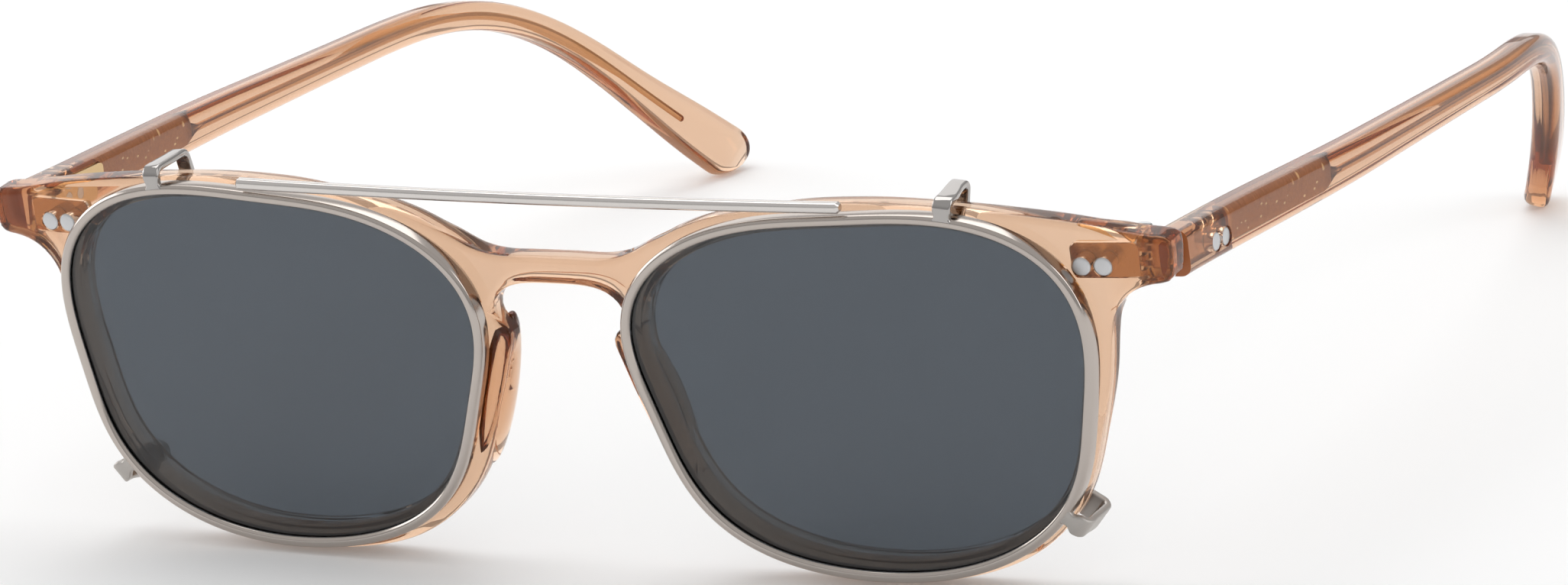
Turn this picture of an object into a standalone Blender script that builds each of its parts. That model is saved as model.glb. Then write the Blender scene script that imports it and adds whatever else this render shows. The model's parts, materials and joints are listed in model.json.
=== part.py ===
"""Clip-on eyeglasses: an acetate frame with riveted hinges and a metal clip with tinted lenses.

Front coordinates: +X is the wearer's left, +Y runs back from the front's outer face and +Z is up.
Z = 0 is the line through the middle of both lenses. The front is modelled flat and then bent.
"""
from math import atan2, cos, pi, radians, sin, sqrt

import bmesh
import bpy
import numpy as np
from mathutils import Matrix, Vector

# Lenses and the openings they sit in
LENS_WIDTH = 0.0484
LENS_HEIGHT = 0.0366
LENS_GAP = 0.0203
LENS_THICKNESS = 0.0014
LENS_BEVEL_DEPTH = 0.0005
LENS_SETBACK = 0.0013
# Right-hand opening as shares of half the width and half the height, every 20 degrees
LENS_OUTLINE_SHARES = (
    (0.97, -0.03), (1.00, 0.37), (0.89, 0.75), (0.56, 0.97), (0.16, 1.00), (-0.15, 0.98),
    (-0.51, 0.92), (-0.86, 0.71), (-0.99, 0.39), (-0.98, 0.03), (-0.89, -0.29), (-0.75, -0.63),
    (-0.52, -0.87), (-0.17, -0.99), (0.16, -0.99), (0.50, -0.90), (0.78, -0.67), (0.92, -0.34),
)

# Acetate front
FRONT_THICKNESS = 0.0035
FRONT_ROUNDING = 0.0008
OPENING_ROUNDING = 0.0003
BEND_RADIUS = 0.6220
BEND_STEP = 0.0090
RIM_WIDTH = 0.0025
BROW_WIDTH = 0.00225
BRIDGE_HEIGHT = 0.00305
ENDPIECE_LENGTH = 0.0106
ENDPIECE_HEIGHT = 0.0055
ENDPIECE_EXTRA = 0.0006
ENDPIECE_RAMP = 0.0020
ENDPIECE_RAMP_LENGTH = 0.0035
GROOVE_DEPTH = 0.0009
# Brow line: shares of half a lens width out from the lens centre, and of the brow's top height
BROW_SHARES = (
    (-1.043, 0.698), (-0.950, 0.754), (-0.886, 0.788), (-0.808, 0.832), (-0.729, 0.869),
    (-0.655, 0.897), (-0.498, 0.936), (-0.353, 0.959), (-0.221, 0.981), (0.002, 0.998),
    (0.151, 1.00), (0.374, 0.989), (0.605, 0.969), (0.812, 0.944), (1.126, 0.889),
)
BROW_END_SHARE = 0.856
# Endpiece: shares of its length past the lens, and of its height below the brow's end
ENDPIECE_SHARES = (
    (0.553, -0.020), (0.786, 0.042), (0.916, 0.078), (0.981, 0.142), (1.00, 0.262),
    (0.997, 0.47), (0.986, 0.725), (0.963, 0.889), (0.907, 0.971), (0.823, 1.00),
    (0.679, 1.053), (0.526, 1.189), (0.405, 1.407), (0.340, 1.616), (0.298, 1.925),
    (0.265, 2.34),
)
# Rim around the eye: angle in degrees and share of the rim width
RIM_SHARES = (
    (10, 1.10), (0, 1.00), (-13, 0.82), (-24, 0.77), (-33, 0.83), (-42, 0.94), (-50, 1.05),
    (-60, 1.10), (-75, 1.12), (-90, 1.15), (-105, 1.18), (-119, 1.25), (-130, 1.24),
    (-142, 1.27), (-150, 1.33), (-158, 1.38), (-166, 1.42), (-174, 1.46),
)
# Nose side and keyhole: shares of half the gap between lenses and of half a lens height
NOSE_SHARES = (
    (0.729, 0.000), (0.680, 0.087), (0.633, 0.169), (0.601, 0.246), (0.619, 0.287),
    (0.665, 0.311), (0.719, 0.342), (0.751, 0.383), (0.747, 0.432), (0.719, 0.470),
    (0.670, 0.503), (0.601, 0.533), (0.512, 0.555), (0.384, 0.571), (0.197, 0.578),
)
KEYHOLE_TOP_SHARE = 0.579

# Nose pads, moulded on the back of the front
PAD_DEPTH = 0.0025
PAD_SEAT_SHARE = 0.9
PAD_LENGTH = 0.0180
PAD_WIDTH = 0.0034
PAD_INSET = 0.0005
PAD_DROP = 0.0024
PAD_TILT = radians(17)
PAD_SPLAY = radians(20)

# Hinges
PIN_CLEARANCE = 0.0003
KNUCKLE_RADIUS = 0.0013
KNUCKLE_HEIGHT = 0.00056
KNUCKLE_GAP = 0.0002
KNUCKLE_COUNT = 5
BORE_CLEARANCE = 0.00025
SCREW_RADIUS = 0.0005
SCREW_HEAD_RADIUS = 0.0010
SCREW_HEAD_HEIGHT = 0.0006
SCREW_OVERHANG = 0.0004
SLOT_WIDTH = 0.00025
SLOT_DEPTH = 0.00025
LEAF_THICKNESS = 0.0011
LEAF_HEIGHT = 0.0036
LEAF_ROUNDING = 0.0006
FRONT_LEAF_LENGTH = 0.00715
TEMPLE_LEAF_LENGTH = 0.0114
TEMPLE_LEAF_LEAD = 0.0005
HINGE_RISE = 0.01384
FIT = 0.0003

# Rivets
RIVET_RADIUS = 0.00102
RIVET_NECK_RADIUS = 0.0006
RIVET_SPACING = 0.0023
RIVET_FIT = 0.00004
FRONT_RIVET_INSET = 0.0016
TEMPLE_RIVET_START = 0.0057
TEMPLE_RIVET_DROP = 0.0004

# Temples
TEMPLE_HEIGHT = 0.00497
TEMPLE_THICKNESS = 0.0038
TIP_THICKNESS = 0.0030
TIP_ROUND = 0.00285
TEMPLE_ROUNDING = 0.0011
TEMPLE_BOW = 0.0015
TEMPLE_BOW_LENGTH = 0.0450
TEMPLE_STRAIGHT = 0.0818
EAR_BEND_LENGTH = 0.0404
EAR_BEND_ANGLE = radians(43.3)
EAR_BEND_STEPS = 60
TIP_LENGTH = 0.0175
TIP_SLANT = 0.33
TIP_SLANT_LENGTH = 0.0120
TIP_INSET = 0.0175
TIP_INSET_START = 0.0754
PANTOSCOPIC_ANGLE = radians(7.13)
# Height along the temple: shares of its length and of its height at the hinge
TEMPLE_HEIGHT_SHARES = (
    (0.00, 1.00), (0.12, 0.99), (0.26, 0.907), (0.37, 0.82), (0.49, 0.736), (0.60, 0.696),
    (0.67, 0.69), (0.78, 0.67), (0.88, 0.907), (0.96, 1.34), (1.00, 1.34),
)

# Metal core inside each temple
CORE_PLATE_LENGTH = 0.0220
CORE_PLATE_HEIGHT = 0.0028
CORE_PLATE_THICKNESS = 0.0009
CORE_POINT_LENGTH = 0.0036
CORE_WIRE_RADIUS = 0.00065
CORE_END_GAP = 0.0100

# Clip
CLIP_GAP = 0.0003
CLIP_OVERLAP = 0.0008
CLIP_RIM_WIDTH = 0.00115
CLIP_RIM_DEPTH = 0.0018
CLIP_RIM_BEVEL = 0.0003
CLIP_LENS_THICKNESS = 0.0006
CLIP_GROOVE_DEPTH = 0.00055
CLIP_LENS_GROWTH = 0.0003
CLIP_LENS_PLAY = 0.00025
BAR_HALF_LENGTH = 0.0350
BAR_HEIGHT = 0.00115
BAR_DEPTH = 0.0013
BAR_LEAD = 0.0005
BAR_BEVEL = 0.0003
HOOK_THICKNESS = 0.0008
TOP_HOOK_WIDTHS = (0.0017, 0.0019, 0.0015)
TOP_HOOK_SHIFT = 0.0006
TOP_HOOK_CLEARANCE = 0.0011
TOP_HOOK_REACH = 0.0028
TOP_HOOK_ANGLE = 64
LOWER_HOOK_WIDTHS = (0.0015, 0.0022, 0.0018)
LOWER_HOOK_SHIFT = -0.0004
LOWER_HOOK_CLEARANCE = 0.0013
LOWER_HOOK_REACH = 0.0028
LOWER_HOOK_ANGLE = -37

OVERRUN = 0.0010
MERGE = 0.0000005

HALF_GAP = LENS_GAP / 2
HALF_WIDTH = LENS_WIDTH / 2
HALF_HEIGHT = LENS_HEIGHT / 2
EYE_X = HALF_GAP + HALF_WIDTH
LENS_END_X = HALF_GAP + LENS_WIDTH
END_X = LENS_END_X + ENDPIECE_LENGTH
BROW_TOP = HALF_HEIGHT + BROW_WIDTH
TEMPLE_X = END_X - TEMPLE_THICKNESS / 2
PIN_X = TEMPLE_X - TEMPLE_THICKNESS / 2 - KNUCKLE_RADIUS - PIN_CLEARANCE
END_THICKNESS = FRONT_THICKNESS + ENDPIECE_EXTRA
PIN_DEPTH = END_THICKNESS + PIN_CLEARANCE + KNUCKLE_RADIUS
BORE_RADIUS = SCREW_RADIUS + BORE_CLEARANCE
BARREL_HEIGHT = KNUCKLE_COUNT * KNUCKLE_HEIGHT + (KNUCKLE_COUNT - 1) * KNUCKLE_GAP
CLIP_BACK = -CLIP_GAP
CLIP_FRONT = CLIP_BACK - CLIP_RIM_DEPTH


def srgb(code):
    """Linear colour of a six-figure hex code."""
    parts = [int(code[i:i + 2], 16) / 255 for i in (0, 2, 4)]
    return [p / 12.92 if p <= 0.04045 else ((p + 0.055) / 1.055) ** 2.4 for p in parts] + [1.0]


def finish(name, colour, roughness, metallic=0.0, transmission=0.0):
    """One Principled material."""
    material = bpy.data.materials.new(name)
    material.use_nodes = True
    shader = material.node_tree.nodes["Principled BSDF"]
    shader.inputs["Base Color"].default_value = srgb(colour)
    shader.inputs["Roughness"].default_value = roughness
    shader.inputs["Metallic"].default_value = metallic
    shader.inputs["Transmission Weight"].default_value = transmission
    material.diffuse_color = srgb(colour)
    return material


def collection(name):
    """A new collection linked to the scene."""
    made = bpy.data.collections.new(name)
    bpy.context.scene.collection.children.link(made)
    return made


def clear_scene():
    """Remove every object that the file opened with."""
    for item in list(bpy.data.objects):
        bpy.data.objects.remove(item, do_unlink=True)


def bend(x):
    """Depth added by the front's bend at this distance from the middle."""
    return x * x / (2 * BEND_RADIUS)


def bend_slope(x):
    """Turn of the bent front about the vertical at this distance from the middle."""
    return atan2(x, BEND_RADIUS)


# Outlines

def lens_shape():
    """Lens outline as complex harmonics, scaled to fill its box exactly."""
    points = np.array([complex(u, v) for u, v in LENS_OUTLINE_SHARES])
    count = len(points)
    terms = np.fft.fft(points) / count
    order = 5
    kept = {k: terms[k % count] for k in range(-order, order + 1)}
    turn = np.linspace(0, 2 * pi, 720, endpoint=False)
    loop = sum(value * np.exp(1j * k * turn) for k, value in kept.items())
    middle = complex((loop.real.max() + loop.real.min()) / 2, (loop.imag.max() + loop.imag.min()) / 2)
    kept[0] = kept[0] - middle
    spread = (loop.real.max() - loop.real.min()) / 2, (loop.imag.max() - loop.imag.min()) / 2
    return kept, spread


LENS_TERMS, LENS_SPREAD = lens_shape()


def lens_point(angle, growth=0.0):
    """Point (x, z) of the left lens's outline at this angle, moved outward by growth."""
    value = sum(term * np.exp(1j * k * angle) for k, term in LENS_TERMS.items())
    slope = sum(1j * k * term * np.exp(1j * k * angle) for k, term in LENS_TERMS.items())
    across = HALF_WIDTH / LENS_SPREAD[0]
    upward = HALF_HEIGHT / LENS_SPREAD[1]
    along = Vector((slope.real * across, slope.imag * upward)).normalized()
    x = EYE_X + value.real * across + growth * along.y
    z = value.imag * upward - growth * along.x
    return x, z


def lens_normal(angle):
    """Outward direction (x, z) of the left lens's outline at this angle."""
    near = Vector(lens_point(angle))
    far = Vector(lens_point(angle, RIM_WIDTH))
    return (far - near).normalized()


def lens_loop(growth, count):
    """Closed outline of the left lens, grown by this much."""
    return [lens_point(2 * pi * i / count, growth) for i in range(count)]


def closed_spline(points, count):
    """Evenly spaced points along the smooth closed curve through these points."""
    knots = np.array(points)
    size = len(knots)
    gap = np.linalg.norm(np.roll(knots, -1, axis=0) - knots, axis=1)
    before = np.roll(gap, 1)
    chord = (np.roll(knots, -1, axis=0) - knots) / gap[:, None]
    matrix = np.zeros((size, size))
    for i in range(size):
        matrix[i, i] = 2 * (gap[i] + before[i])
        matrix[i, i - 1] = gap[i]
        matrix[i, (i + 1) % size] = before[i]
    right = 3 * (gap[:, None] * np.roll(chord, 1, axis=0) + before[:, None] * chord)
    slope = np.linalg.solve(matrix, right)
    fine = []
    for i in range(size):
        j = (i + 1) % size
        for t in np.linspace(0, 1, 12, endpoint=False):
            a = knots[i] * (1 + 2 * t) * (1 - t) ** 2 + knots[j] * t * t * (3 - 2 * t)
            b = slope[i] * t * (1 - t) ** 2 + slope[j] * t * t * (t - 1)
            fine.append(a + b * gap[i])
    fine = np.array(fine + [fine[0]])
    length = np.concatenate([[0], np.cumsum(np.linalg.norm(np.diff(fine, axis=0), axis=1))])
    place = np.linspace(0, length[-1], count, endpoint=False)
    return [(np.interp(s, length, fine[:, 0]), np.interp(s, length, fine[:, 1])) for s in place]


def smooth_value(table, share):
    """Value at this share of the way along a table, eased between its rows."""
    for (start, low), (end, high) in zip(table, table[1:]):
        if share <= end:
            t = max(0.0, (share - start) / (end - start))
            return low + (high - low) * t * t * (3 - 2 * t)
    return table[-1][1]


def front_outline(count):
    """Outline (x, z) of the acetate front, both sides."""
    keyhole_top = KEYHOLE_TOP_SHARE * HALF_HEIGHT
    bridge_top = keyhole_top + BRIDGE_HEIGHT
    half = [(share * HALF_GAP, bridge_top) for share in (0.25, 0.6)]
    half += [(EYE_X + u * HALF_WIDTH, v * BROW_TOP) for u, v in BROW_SHARES]
    brow_end = BROW_END_SHARE * BROW_TOP
    half += [
        (LENS_END_X + u * ENDPIECE_LENGTH, brow_end - v * ENDPIECE_HEIGHT)
        for u, v in ENDPIECE_SHARES
    ]
    half += [lens_point(radians(angle), RIM_WIDTH * share) for angle, share in RIM_SHARES]
    half += [(u * HALF_GAP, v * HALF_HEIGHT) for u, v in NOSE_SHARES]
    other = [(-x, z) for x, z in reversed(half)]
    return closed_spline([(0.0, bridge_top)] + half + [(0.0, keyhole_top)] + other, count)


def rounded_loop(half_width, half_height, radius, corner_points):
    """Rectangle with round corners, centred on the origin."""
    radius = min(radius, half_width, half_height)
    loop = []
    for quarter in range(4):
        sign_x = 1 if quarter in (0, 3) else -1
        sign_y = 1 if quarter in (0, 1) else -1
        for i in range(corner_points):
            angle = (quarter + i / (corner_points - 1)) * pi / 2
            x = sign_x * (half_width - radius) + radius * cos(angle)
            y = sign_y * (half_height - radius) + radius * sin(angle)
            loop.append((x, y))
    return loop


def circle_loop(radius, count, x=0.0, y=0.0):
    """Points around a circle."""
    return [
        (x + radius * cos(2 * pi * i / count), y + radius * sin(2 * pi * i / count))
        for i in range(count)
    ]


# Mesh tools

def mesh_from(bm, name):
    """Turn a bmesh into a mesh with its faces pointing out."""
    bmesh.ops.recalc_face_normals(bm, faces=bm.faces)
    mesh = bpy.data.meshes.new(name)
    bm.to_mesh(mesh)
    bm.free()
    return mesh


def loft(name, sections):
    """Closed body through loops with the same number of points."""
    bm = bmesh.new()
    rings = [[bm.verts.new(point) for point in section] for section in sections]
    for ring, following in zip(rings, rings[1:]):
        for i in range(len(ring)):
            j = (i + 1) % len(ring)
            bm.faces.new((ring[i], ring[j], following[j], following[i]))
    bm.faces.new(reversed(rings[0]))
    bm.faces.new(rings[-1])
    return mesh_from(bm, name)


def ring_sweep(name, sections):
    """Closed ring through loops with the same number of points."""
    bm = bmesh.new()
    rings = [[bm.verts.new(point) for point in section] for section in sections]
    for ring, following in zip(rings, rings[1:] + rings[:1]):
        for i in range(len(ring)):
            j = (i + 1) % len(ring)
            bm.faces.new((ring[i], ring[j], following[j], following[i]))
    return mesh_from(bm, name)


def plate(name, loops, thickness, rounding=0.0, segments=1):
    """Flat outline (x, y) with holes, extruded both ways from z = 0, as a mesh."""
    curve = bpy.data.curves.new(name, "CURVE")
    curve.dimensions = "2D"
    curve.fill_mode = "BOTH"
    curve.extrude = thickness / 2 - rounding
    curve.bevel_depth = rounding
    curve.bevel_resolution = segments - 1
    curve.offset = -rounding
    for loop in loops:
        line = curve.splines.new("POLY")
        line.points.add(len(loop) - 1)
        line.use_cyclic_u = True
        for point, (x, y) in zip(line.points, loop):
            point.co = (x, y, 0.0, 1.0)
    guide = bpy.data.objects.new(name, curve)
    bpy.context.scene.collection.objects.link(guide)
    graph = bpy.context.evaluated_depsgraph_get()
    mesh = bpy.data.meshes.new_from_object(guide.evaluated_get(graph))
    bpy.data.objects.remove(guide)
    bm = bmesh.new()
    bm.from_mesh(mesh)
    bmesh.ops.remove_doubles(bm, verts=bm.verts, dist=MERGE)
    bmesh.ops.dissolve_limit(bm, angle_limit=radians(0.1), verts=bm.verts, edges=bm.edges)
    return mesh_from(bm, name)


def turned(name, profile, steps):
    """Turned body from a profile of (radius, height) points that starts and ends on the axis."""
    bm = bmesh.new()
    verts = [bm.verts.new((radius, 0.0, height)) for radius, height in profile]
    edges = [bm.edges.new(pair) for pair in zip(verts, verts[1:])]
    bmesh.ops.spin(
        bm, geom=verts + edges, cent=(0, 0, 0), axis=(0, 0, 1), angle=2 * pi, steps=steps,
        use_merge=True, use_duplicate=False,
    )
    bmesh.ops.remove_doubles(bm, verts=bm.verts, dist=MERGE)
    return mesh_from(bm, name)


def box(name, low, high):
    """Box between two corners."""
    bm = bmesh.new()
    bmesh.ops.create_cube(bm, size=1.0)
    low = Vector(low)
    high = Vector(high)
    for vert in bm.verts:
        for axis in range(3):
            vert.co[axis] = low[axis] if vert.co[axis] < 0 else high[axis]
    return mesh_from(bm, name)


def triangulated(mesh):
    """The same mesh in triangles, for a body whose quads are not flat."""
    bm = bmesh.new()
    bm.from_mesh(mesh)
    bmesh.ops.triangulate(bm, faces=bm.faces)
    bm.to_mesh(mesh)
    bm.free()
    return mesh


def moved(mesh, matrix):
    """The same mesh, moved by a matrix."""
    mesh.transform(matrix)
    return mesh


def mirrored(mesh, name):
    """Mirror image of a mesh across X = 0."""
    bm = bmesh.new()
    bm.from_mesh(mesh)
    for vert in bm.verts:
        vert.co.x = -vert.co.x
    bmesh.ops.reverse_faces(bm, faces=bm.faces)
    copy = bpy.data.meshes.new(name)
    bm.to_mesh(copy)
    bm.free()
    return copy


def combined(name, first, second, operation):
    """Boolean of two meshes, with both removed."""
    body = bpy.data.objects.new(name, first)
    tool = bpy.data.objects.new(name + "_tool", second)
    for item in (body, tool):
        bpy.context.scene.collection.objects.link(item)
    modifier = body.modifiers.new("Boolean", "BOOLEAN")
    modifier.operation = operation
    modifier.solver = "EXACT"
    modifier.object = tool
    graph = bpy.context.evaluated_depsgraph_get()
    mesh = bpy.data.meshes.new_from_object(body.evaluated_get(graph))
    bpy.data.objects.remove(body)
    bpy.data.objects.remove(tool)
    mesh.name = name
    return mesh


def bent(mesh):
    """Bend a flat mesh to the front's curve, after slicing it so that long faces follow."""
    bm = bmesh.new()
    bm.from_mesh(mesh)
    reach = max(abs(vert.co.x) for vert in bm.verts)
    steps = int(reach / BEND_STEP) + 1
    for i in range(-steps, steps + 1):
        geometry = list(bm.verts) + list(bm.edges) + list(bm.faces)
        bmesh.ops.bisect_plane(
            bm, geom=geometry, dist=MERGE, plane_co=(i * BEND_STEP, 0, 0), plane_no=(1, 0, 0)
        )
    for vert in bm.verts:
        vert.co.y += bend(vert.co.x)
    bm.to_mesh(mesh)
    bm.free()
    return mesh


def thickened(mesh):
    """Build up the back of both endpieces, with a short ramp."""
    bm = bmesh.new()
    bm.from_mesh(mesh)
    start = LENS_END_X + ENDPIECE_RAMP
    end = start + ENDPIECE_RAMP_LENGTH
    for x in (-end, -start, start, end):
        geometry = list(bm.verts) + list(bm.edges) + list(bm.faces)
        bmesh.ops.bisect_plane(
            bm, geom=geometry, dist=MERGE, plane_co=(x, 0, 0), plane_no=(1, 0, 0)
        )
    for vert in bm.verts:
        if vert.co.y > FRONT_THICKNESS / 2:
            share = (abs(vert.co.x) - start) / ENDPIECE_RAMP_LENGTH
            vert.co.y += ENDPIECE_EXTRA * max(0.0, min(1.0, share))
    bm.to_mesh(mesh)
    bm.free()
    return mesh


class Model:
    """The object's collections, empties and named pieces."""

    def __init__(self):
        self.parts = collection("clip_on_eyeglasses")
        self.cutters = collection("cutters")
        self.root = self.empty("eyeglasses_root", None)
        self.pivots = {}
        for side, sign in (("left", 1), ("right", -1)):
            pivot = self.empty("temple_%s_pivot" % side, self.root)
            pivot.location = (sign * PIN_X, PIN_DEPTH + bend(PIN_X), HINGE_RISE)
            pivot.rotation_euler = (-PANTOSCOPIC_ANGLE, 0, 0)
            self.pivots[side] = pivot

    def empty(self, name, parent):
        """An empty that carries other pieces."""
        made = bpy.data.objects.new(name, None)
        self.parts.objects.link(made)
        made.parent = parent
        return made

    def add(self, name, mesh, material, parent=None):
        """A named piece of the object."""
        piece = bpy.data.objects.new(name, mesh)
        mesh.name = name
        mesh.materials.clear()
        mesh.materials.append(material)
        mesh.shade_smooth()
        mesh.set_sharp_from_angle(angle=radians(35))
        self.parts.objects.link(piece)
        piece.parent = parent or self.root
        return piece

    def add_pair(self, name, mesh, material, on_temple=False):
        """A left piece and its mirror image on the right."""
        made = {}
        for side in ("left", "right"):
            copy = mesh if side == "left" else mirrored(mesh, name)
            parent = self.pivots[side] if on_temple else self.root
            made[side] = self.add("%s_%s" % (name, side), copy, material, parent)
        return made

    def cut(self, piece, mesh, name, parent=None):
        """Cut a piece with a mesh that stays live in the cutters' collection."""
        cutter = bpy.data.objects.new(name, mesh)
        self.cutters.objects.link(cutter)
        cutter.parent = parent or self.root
        cutter.hide_render = True
        cutter.display_type = "WIRE"
        modifier = piece.modifiers.new(name, "BOOLEAN")
        modifier.operation = "DIFFERENCE"
        modifier.solver = "EXACT"
        modifier.object = cutter


# Front

STAND = Matrix.Rotation(radians(90), 4, "X")


def upright(mesh, depth):
    """Stand a plate drawn in (x, z) upright, with its middle at this depth."""
    return moved(mesh, Matrix.Translation((0, depth, 0)) @ STAND)


def opening_cutter():
    """Cutter for the left opening: rounded edges, the lens groove and room behind it."""
    groove_front = LENS_SETBACK - FIT
    groove_back = LENS_SETBACK + LENS_THICKNESS + FIT
    levels = [
        (-OVERRUN, OPENING_ROUNDING + OVERRUN),
        (OPENING_ROUNDING, 0.0),
        (groove_front, 0.0),
        (groove_front, GROOVE_DEPTH),
        (groove_back, GROOVE_DEPTH),
        (groove_back, 0.0),
        (FRONT_THICKNESS - OPENING_ROUNDING, 0.0),
        (FRONT_THICKNESS + FIT, OPENING_ROUNDING + FIT),
        (FRONT_THICKNESS + PAD_DEPTH + OVERRUN, OPENING_ROUNDING + FIT),
    ]
    sections = [
        [(x, depth, z) for x, z in lens_loop(growth, 44)] for depth, growth in levels
    ]
    return loft("opening", sections)


def nose_pad():
    """Left nose pad: a long drop of acetate that leans with the side of the nose."""
    bm = bmesh.new()
    bmesh.ops.create_uvsphere(bm, u_segments=16, v_segments=12, radius=1.0)
    seat = FRONT_THICKNESS * PAD_SEAT_SHARE
    half_depth = FRONT_THICKNESS - seat + PAD_DEPTH
    size = Matrix.Diagonal((PAD_WIDTH / 2, half_depth, PAD_LENGTH / 2, 1))
    turn = Matrix.Rotation(-PAD_TILT, 4, "Y") @ Matrix.Rotation(-PAD_SPLAY, 4, "Z")
    place = Matrix.Translation((HALF_GAP - PAD_INSET, seat, -PAD_DROP))
    bmesh.ops.transform(bm, matrix=place @ turn @ size, verts=bm.verts)
    return mesh_from(bm, "nose_pad")


def front_frame(model, material):
    """Acetate front with its bridge, endpieces, grooves and nose pads."""
    slab = plate("slab", [front_outline(122)], FRONT_THICKNESS, FRONT_ROUNDING, 2)
    body = upright(slab, FRONT_THICKNESS / 2)
    pad = nose_pad()
    opening = opening_cutter()
    for tool in (pad, mirrored(pad, "pad")):
        body = combined("front", body, tool, "UNION")
    for tool in (mirrored(opening, "opening"), opening):
        body = combined("front", body, tool, "DIFFERENCE")
    return model.add("front_frame", bent(thickened(body)), material)


def lens_body(name, growth, front, thickness):
    """Lens with the outline of the opening, made of upright strips that take the bend."""
    loop = lens_loop(growth, 720)
    ends = [x for x, _ in loop]
    first = ends.index(max(ends))
    loop = loop[first:] + loop[:first]
    turn = min(range(len(loop)), key=lambda i: loop[i][0])
    low, high = loop[turn][0], loop[0][0]
    top_x, top_z = zip(*sorted(loop[:turn + 1]))
    low_x, low_z = zip(*sorted(loop[turn:] + loop[:1]))
    strips = 30
    sections = []
    for i in range(strips + 1):
        share = 0.5 - 0.5 * cos(pi * (0.03 + 0.94 * i / strips))
        x = low + (high - low) * share
        above = float(np.interp(x, top_x, top_z))
        below = float(np.interp(x, low_x, low_z))
        near = front + bend(x)
        far = near + thickness
        sections.append([(x, near, below), (x, far, below), (x, far, above), (x, near, above)])
    return loft(name, sections)


# Hinges and rivets

def hinge_place():
    """Matrix from a front hinge's own axes to the front, at the pin and square to the bend."""
    turn = Matrix.Rotation(bend_slope(PIN_X), 4, "Z")
    return Matrix.Translation((PIN_X, bend(PIN_X), HINGE_RISE)) @ turn


def pin_place():
    """Matrix from a temple's own axes to the front."""
    place = Matrix.Translation((PIN_X, PIN_DEPTH + bend(PIN_X), HINGE_RISE))
    return place @ Matrix.Rotation(-PANTOSCOPIC_ANGLE, 4, "X")


def knuckle_levels(on_temple):
    """Middle heights of the knuckles that belong to the front or to the temple."""
    pitch = KNUCKLE_HEIGHT + KNUCKLE_GAP
    start = -(KNUCKLE_COUNT - 1) / 2 * pitch
    first = 1 if on_temple else 0
    return [start + i * pitch for i in range(first, KNUCKLE_COUNT, 2)]


def arm_loop(reach, low, high):
    """Round knuckle with an arm that runs along +X between two sides."""
    loop = []
    steps = 16
    start = atan2(high, sqrt(KNUCKLE_RADIUS ** 2 - high ** 2))
    end = 2 * pi + atan2(low, sqrt(KNUCKLE_RADIUS ** 2 - low ** 2))
    for i in range(steps + 1):
        angle = start + (end - start) * i / steps
        loop.append((KNUCKLE_RADIUS * cos(angle), KNUCKLE_RADIUS * sin(angle)))
    return loop + [(reach, low), (reach, high)]


def knuckle(reach, low, high, level):
    """One knuckle with its arm and bore."""
    loops = [arm_loop(reach, low, high), circle_loop(BORE_RADIUS, 16)]
    return moved(plate("knuckle", loops, KNUCKLE_HEIGHT), Matrix.Translation((0, 0, level)))


def leaf_plate(length, holes):
    """Hinge leaf along +X with round corners and rivet holes, lying in the XY plane."""
    outline = [
        (x + length / 2, y) for x, y in rounded_loop(length / 2, LEAF_HEIGHT / 2, LEAF_ROUNDING, 4)
    ]
    radius = RIVET_NECK_RADIUS + RIVET_FIT
    loops = [outline] + [circle_loop(radius, 16, x, y) for x, y in holes]
    return plate("leaf", loops, LEAF_THICKNESS)


def front_rivet_places():
    """Distances of the front's rivets from the leaf's outer end, toward the nose."""
    far = FRONT_LEAF_LENGTH - FRONT_RIVET_INSET
    return [far, far - RIVET_SPACING]


def front_leaf_x():
    """Outer end of the front's leaf, measured from the pin."""
    return KNUCKLE_RADIUS


def front_leaf_rise():
    """Height of the front leaf's middle, where the tilted knuckle arms meet it."""
    reach = PIN_DEPTH - END_THICKNESS + LEAF_THICKNESS / 2
    return reach * sin(PANTOSCOPIC_ANGLE)


def front_hinge():
    """Leaf let into the front's back, with three knuckles."""
    holes = [(x, 0.0) for x in front_rivet_places()]
    leaf = leaf_plate(FRONT_LEAF_LENGTH, holes)
    turn = Matrix.Rotation(pi, 4, "Z")
    middle = END_THICKNESS - LEAF_THICKNESS / 2
    shift = Matrix.Translation((front_leaf_x(), middle, front_leaf_rise()))
    body = moved(leaf, hinge_place() @ shift @ STAND @ turn)
    reach = PIN_DEPTH - END_THICKNESS + LEAF_THICKNESS * 0.7
    side = KNUCKLE_RADIUS * 0.92
    for level in knuckle_levels(False):
        arm = knuckle(reach, -side, side, level)
        aim = Matrix.Rotation(-pi / 2, 4, "Z")
        body = combined("front_hinge", body, moved(arm, pin_place() @ aim), "UNION")
    return body


def temple_hinge():
    """Leaf let into the temple's inner face, with two knuckles."""
    middle = leaf_face() + LEAF_THICKNESS / 2
    holes = [(x + TEMPLE_LEAF_LEAD, -TEMPLE_RIVET_DROP) for x in temple_rivet_places()]
    leaf = leaf_plate(TEMPLE_LEAF_LENGTH + TEMPLE_LEAF_LEAD, holes)
    turn = Matrix(((0, 0, 1, 0), (1, 0, 0, 0), (0, 1, 0, 0), (0, 0, 0, 1)))
    body = moved(leaf, Matrix.Translation((middle, -TEMPLE_LEAF_LEAD, 0)) @ turn)
    side = KNUCKLE_RADIUS * 0.92
    for level in knuckle_levels(True):
        arm = knuckle(leaf_face() + LEAF_THICKNESS * 0.6, -side / 3, side, level)
        body = combined("temple_hinge", body, arm, "UNION")
    return body


def leaf_face():
    """Distance from the pin out to the temple's inner face."""
    return KNUCKLE_RADIUS + PIN_CLEARANCE


def temple_rivet_places():
    """Distances of the temple's rivets behind the pin."""
    return [TEMPLE_RIVET_START, TEMPLE_RIVET_START + RIVET_SPACING]


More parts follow.
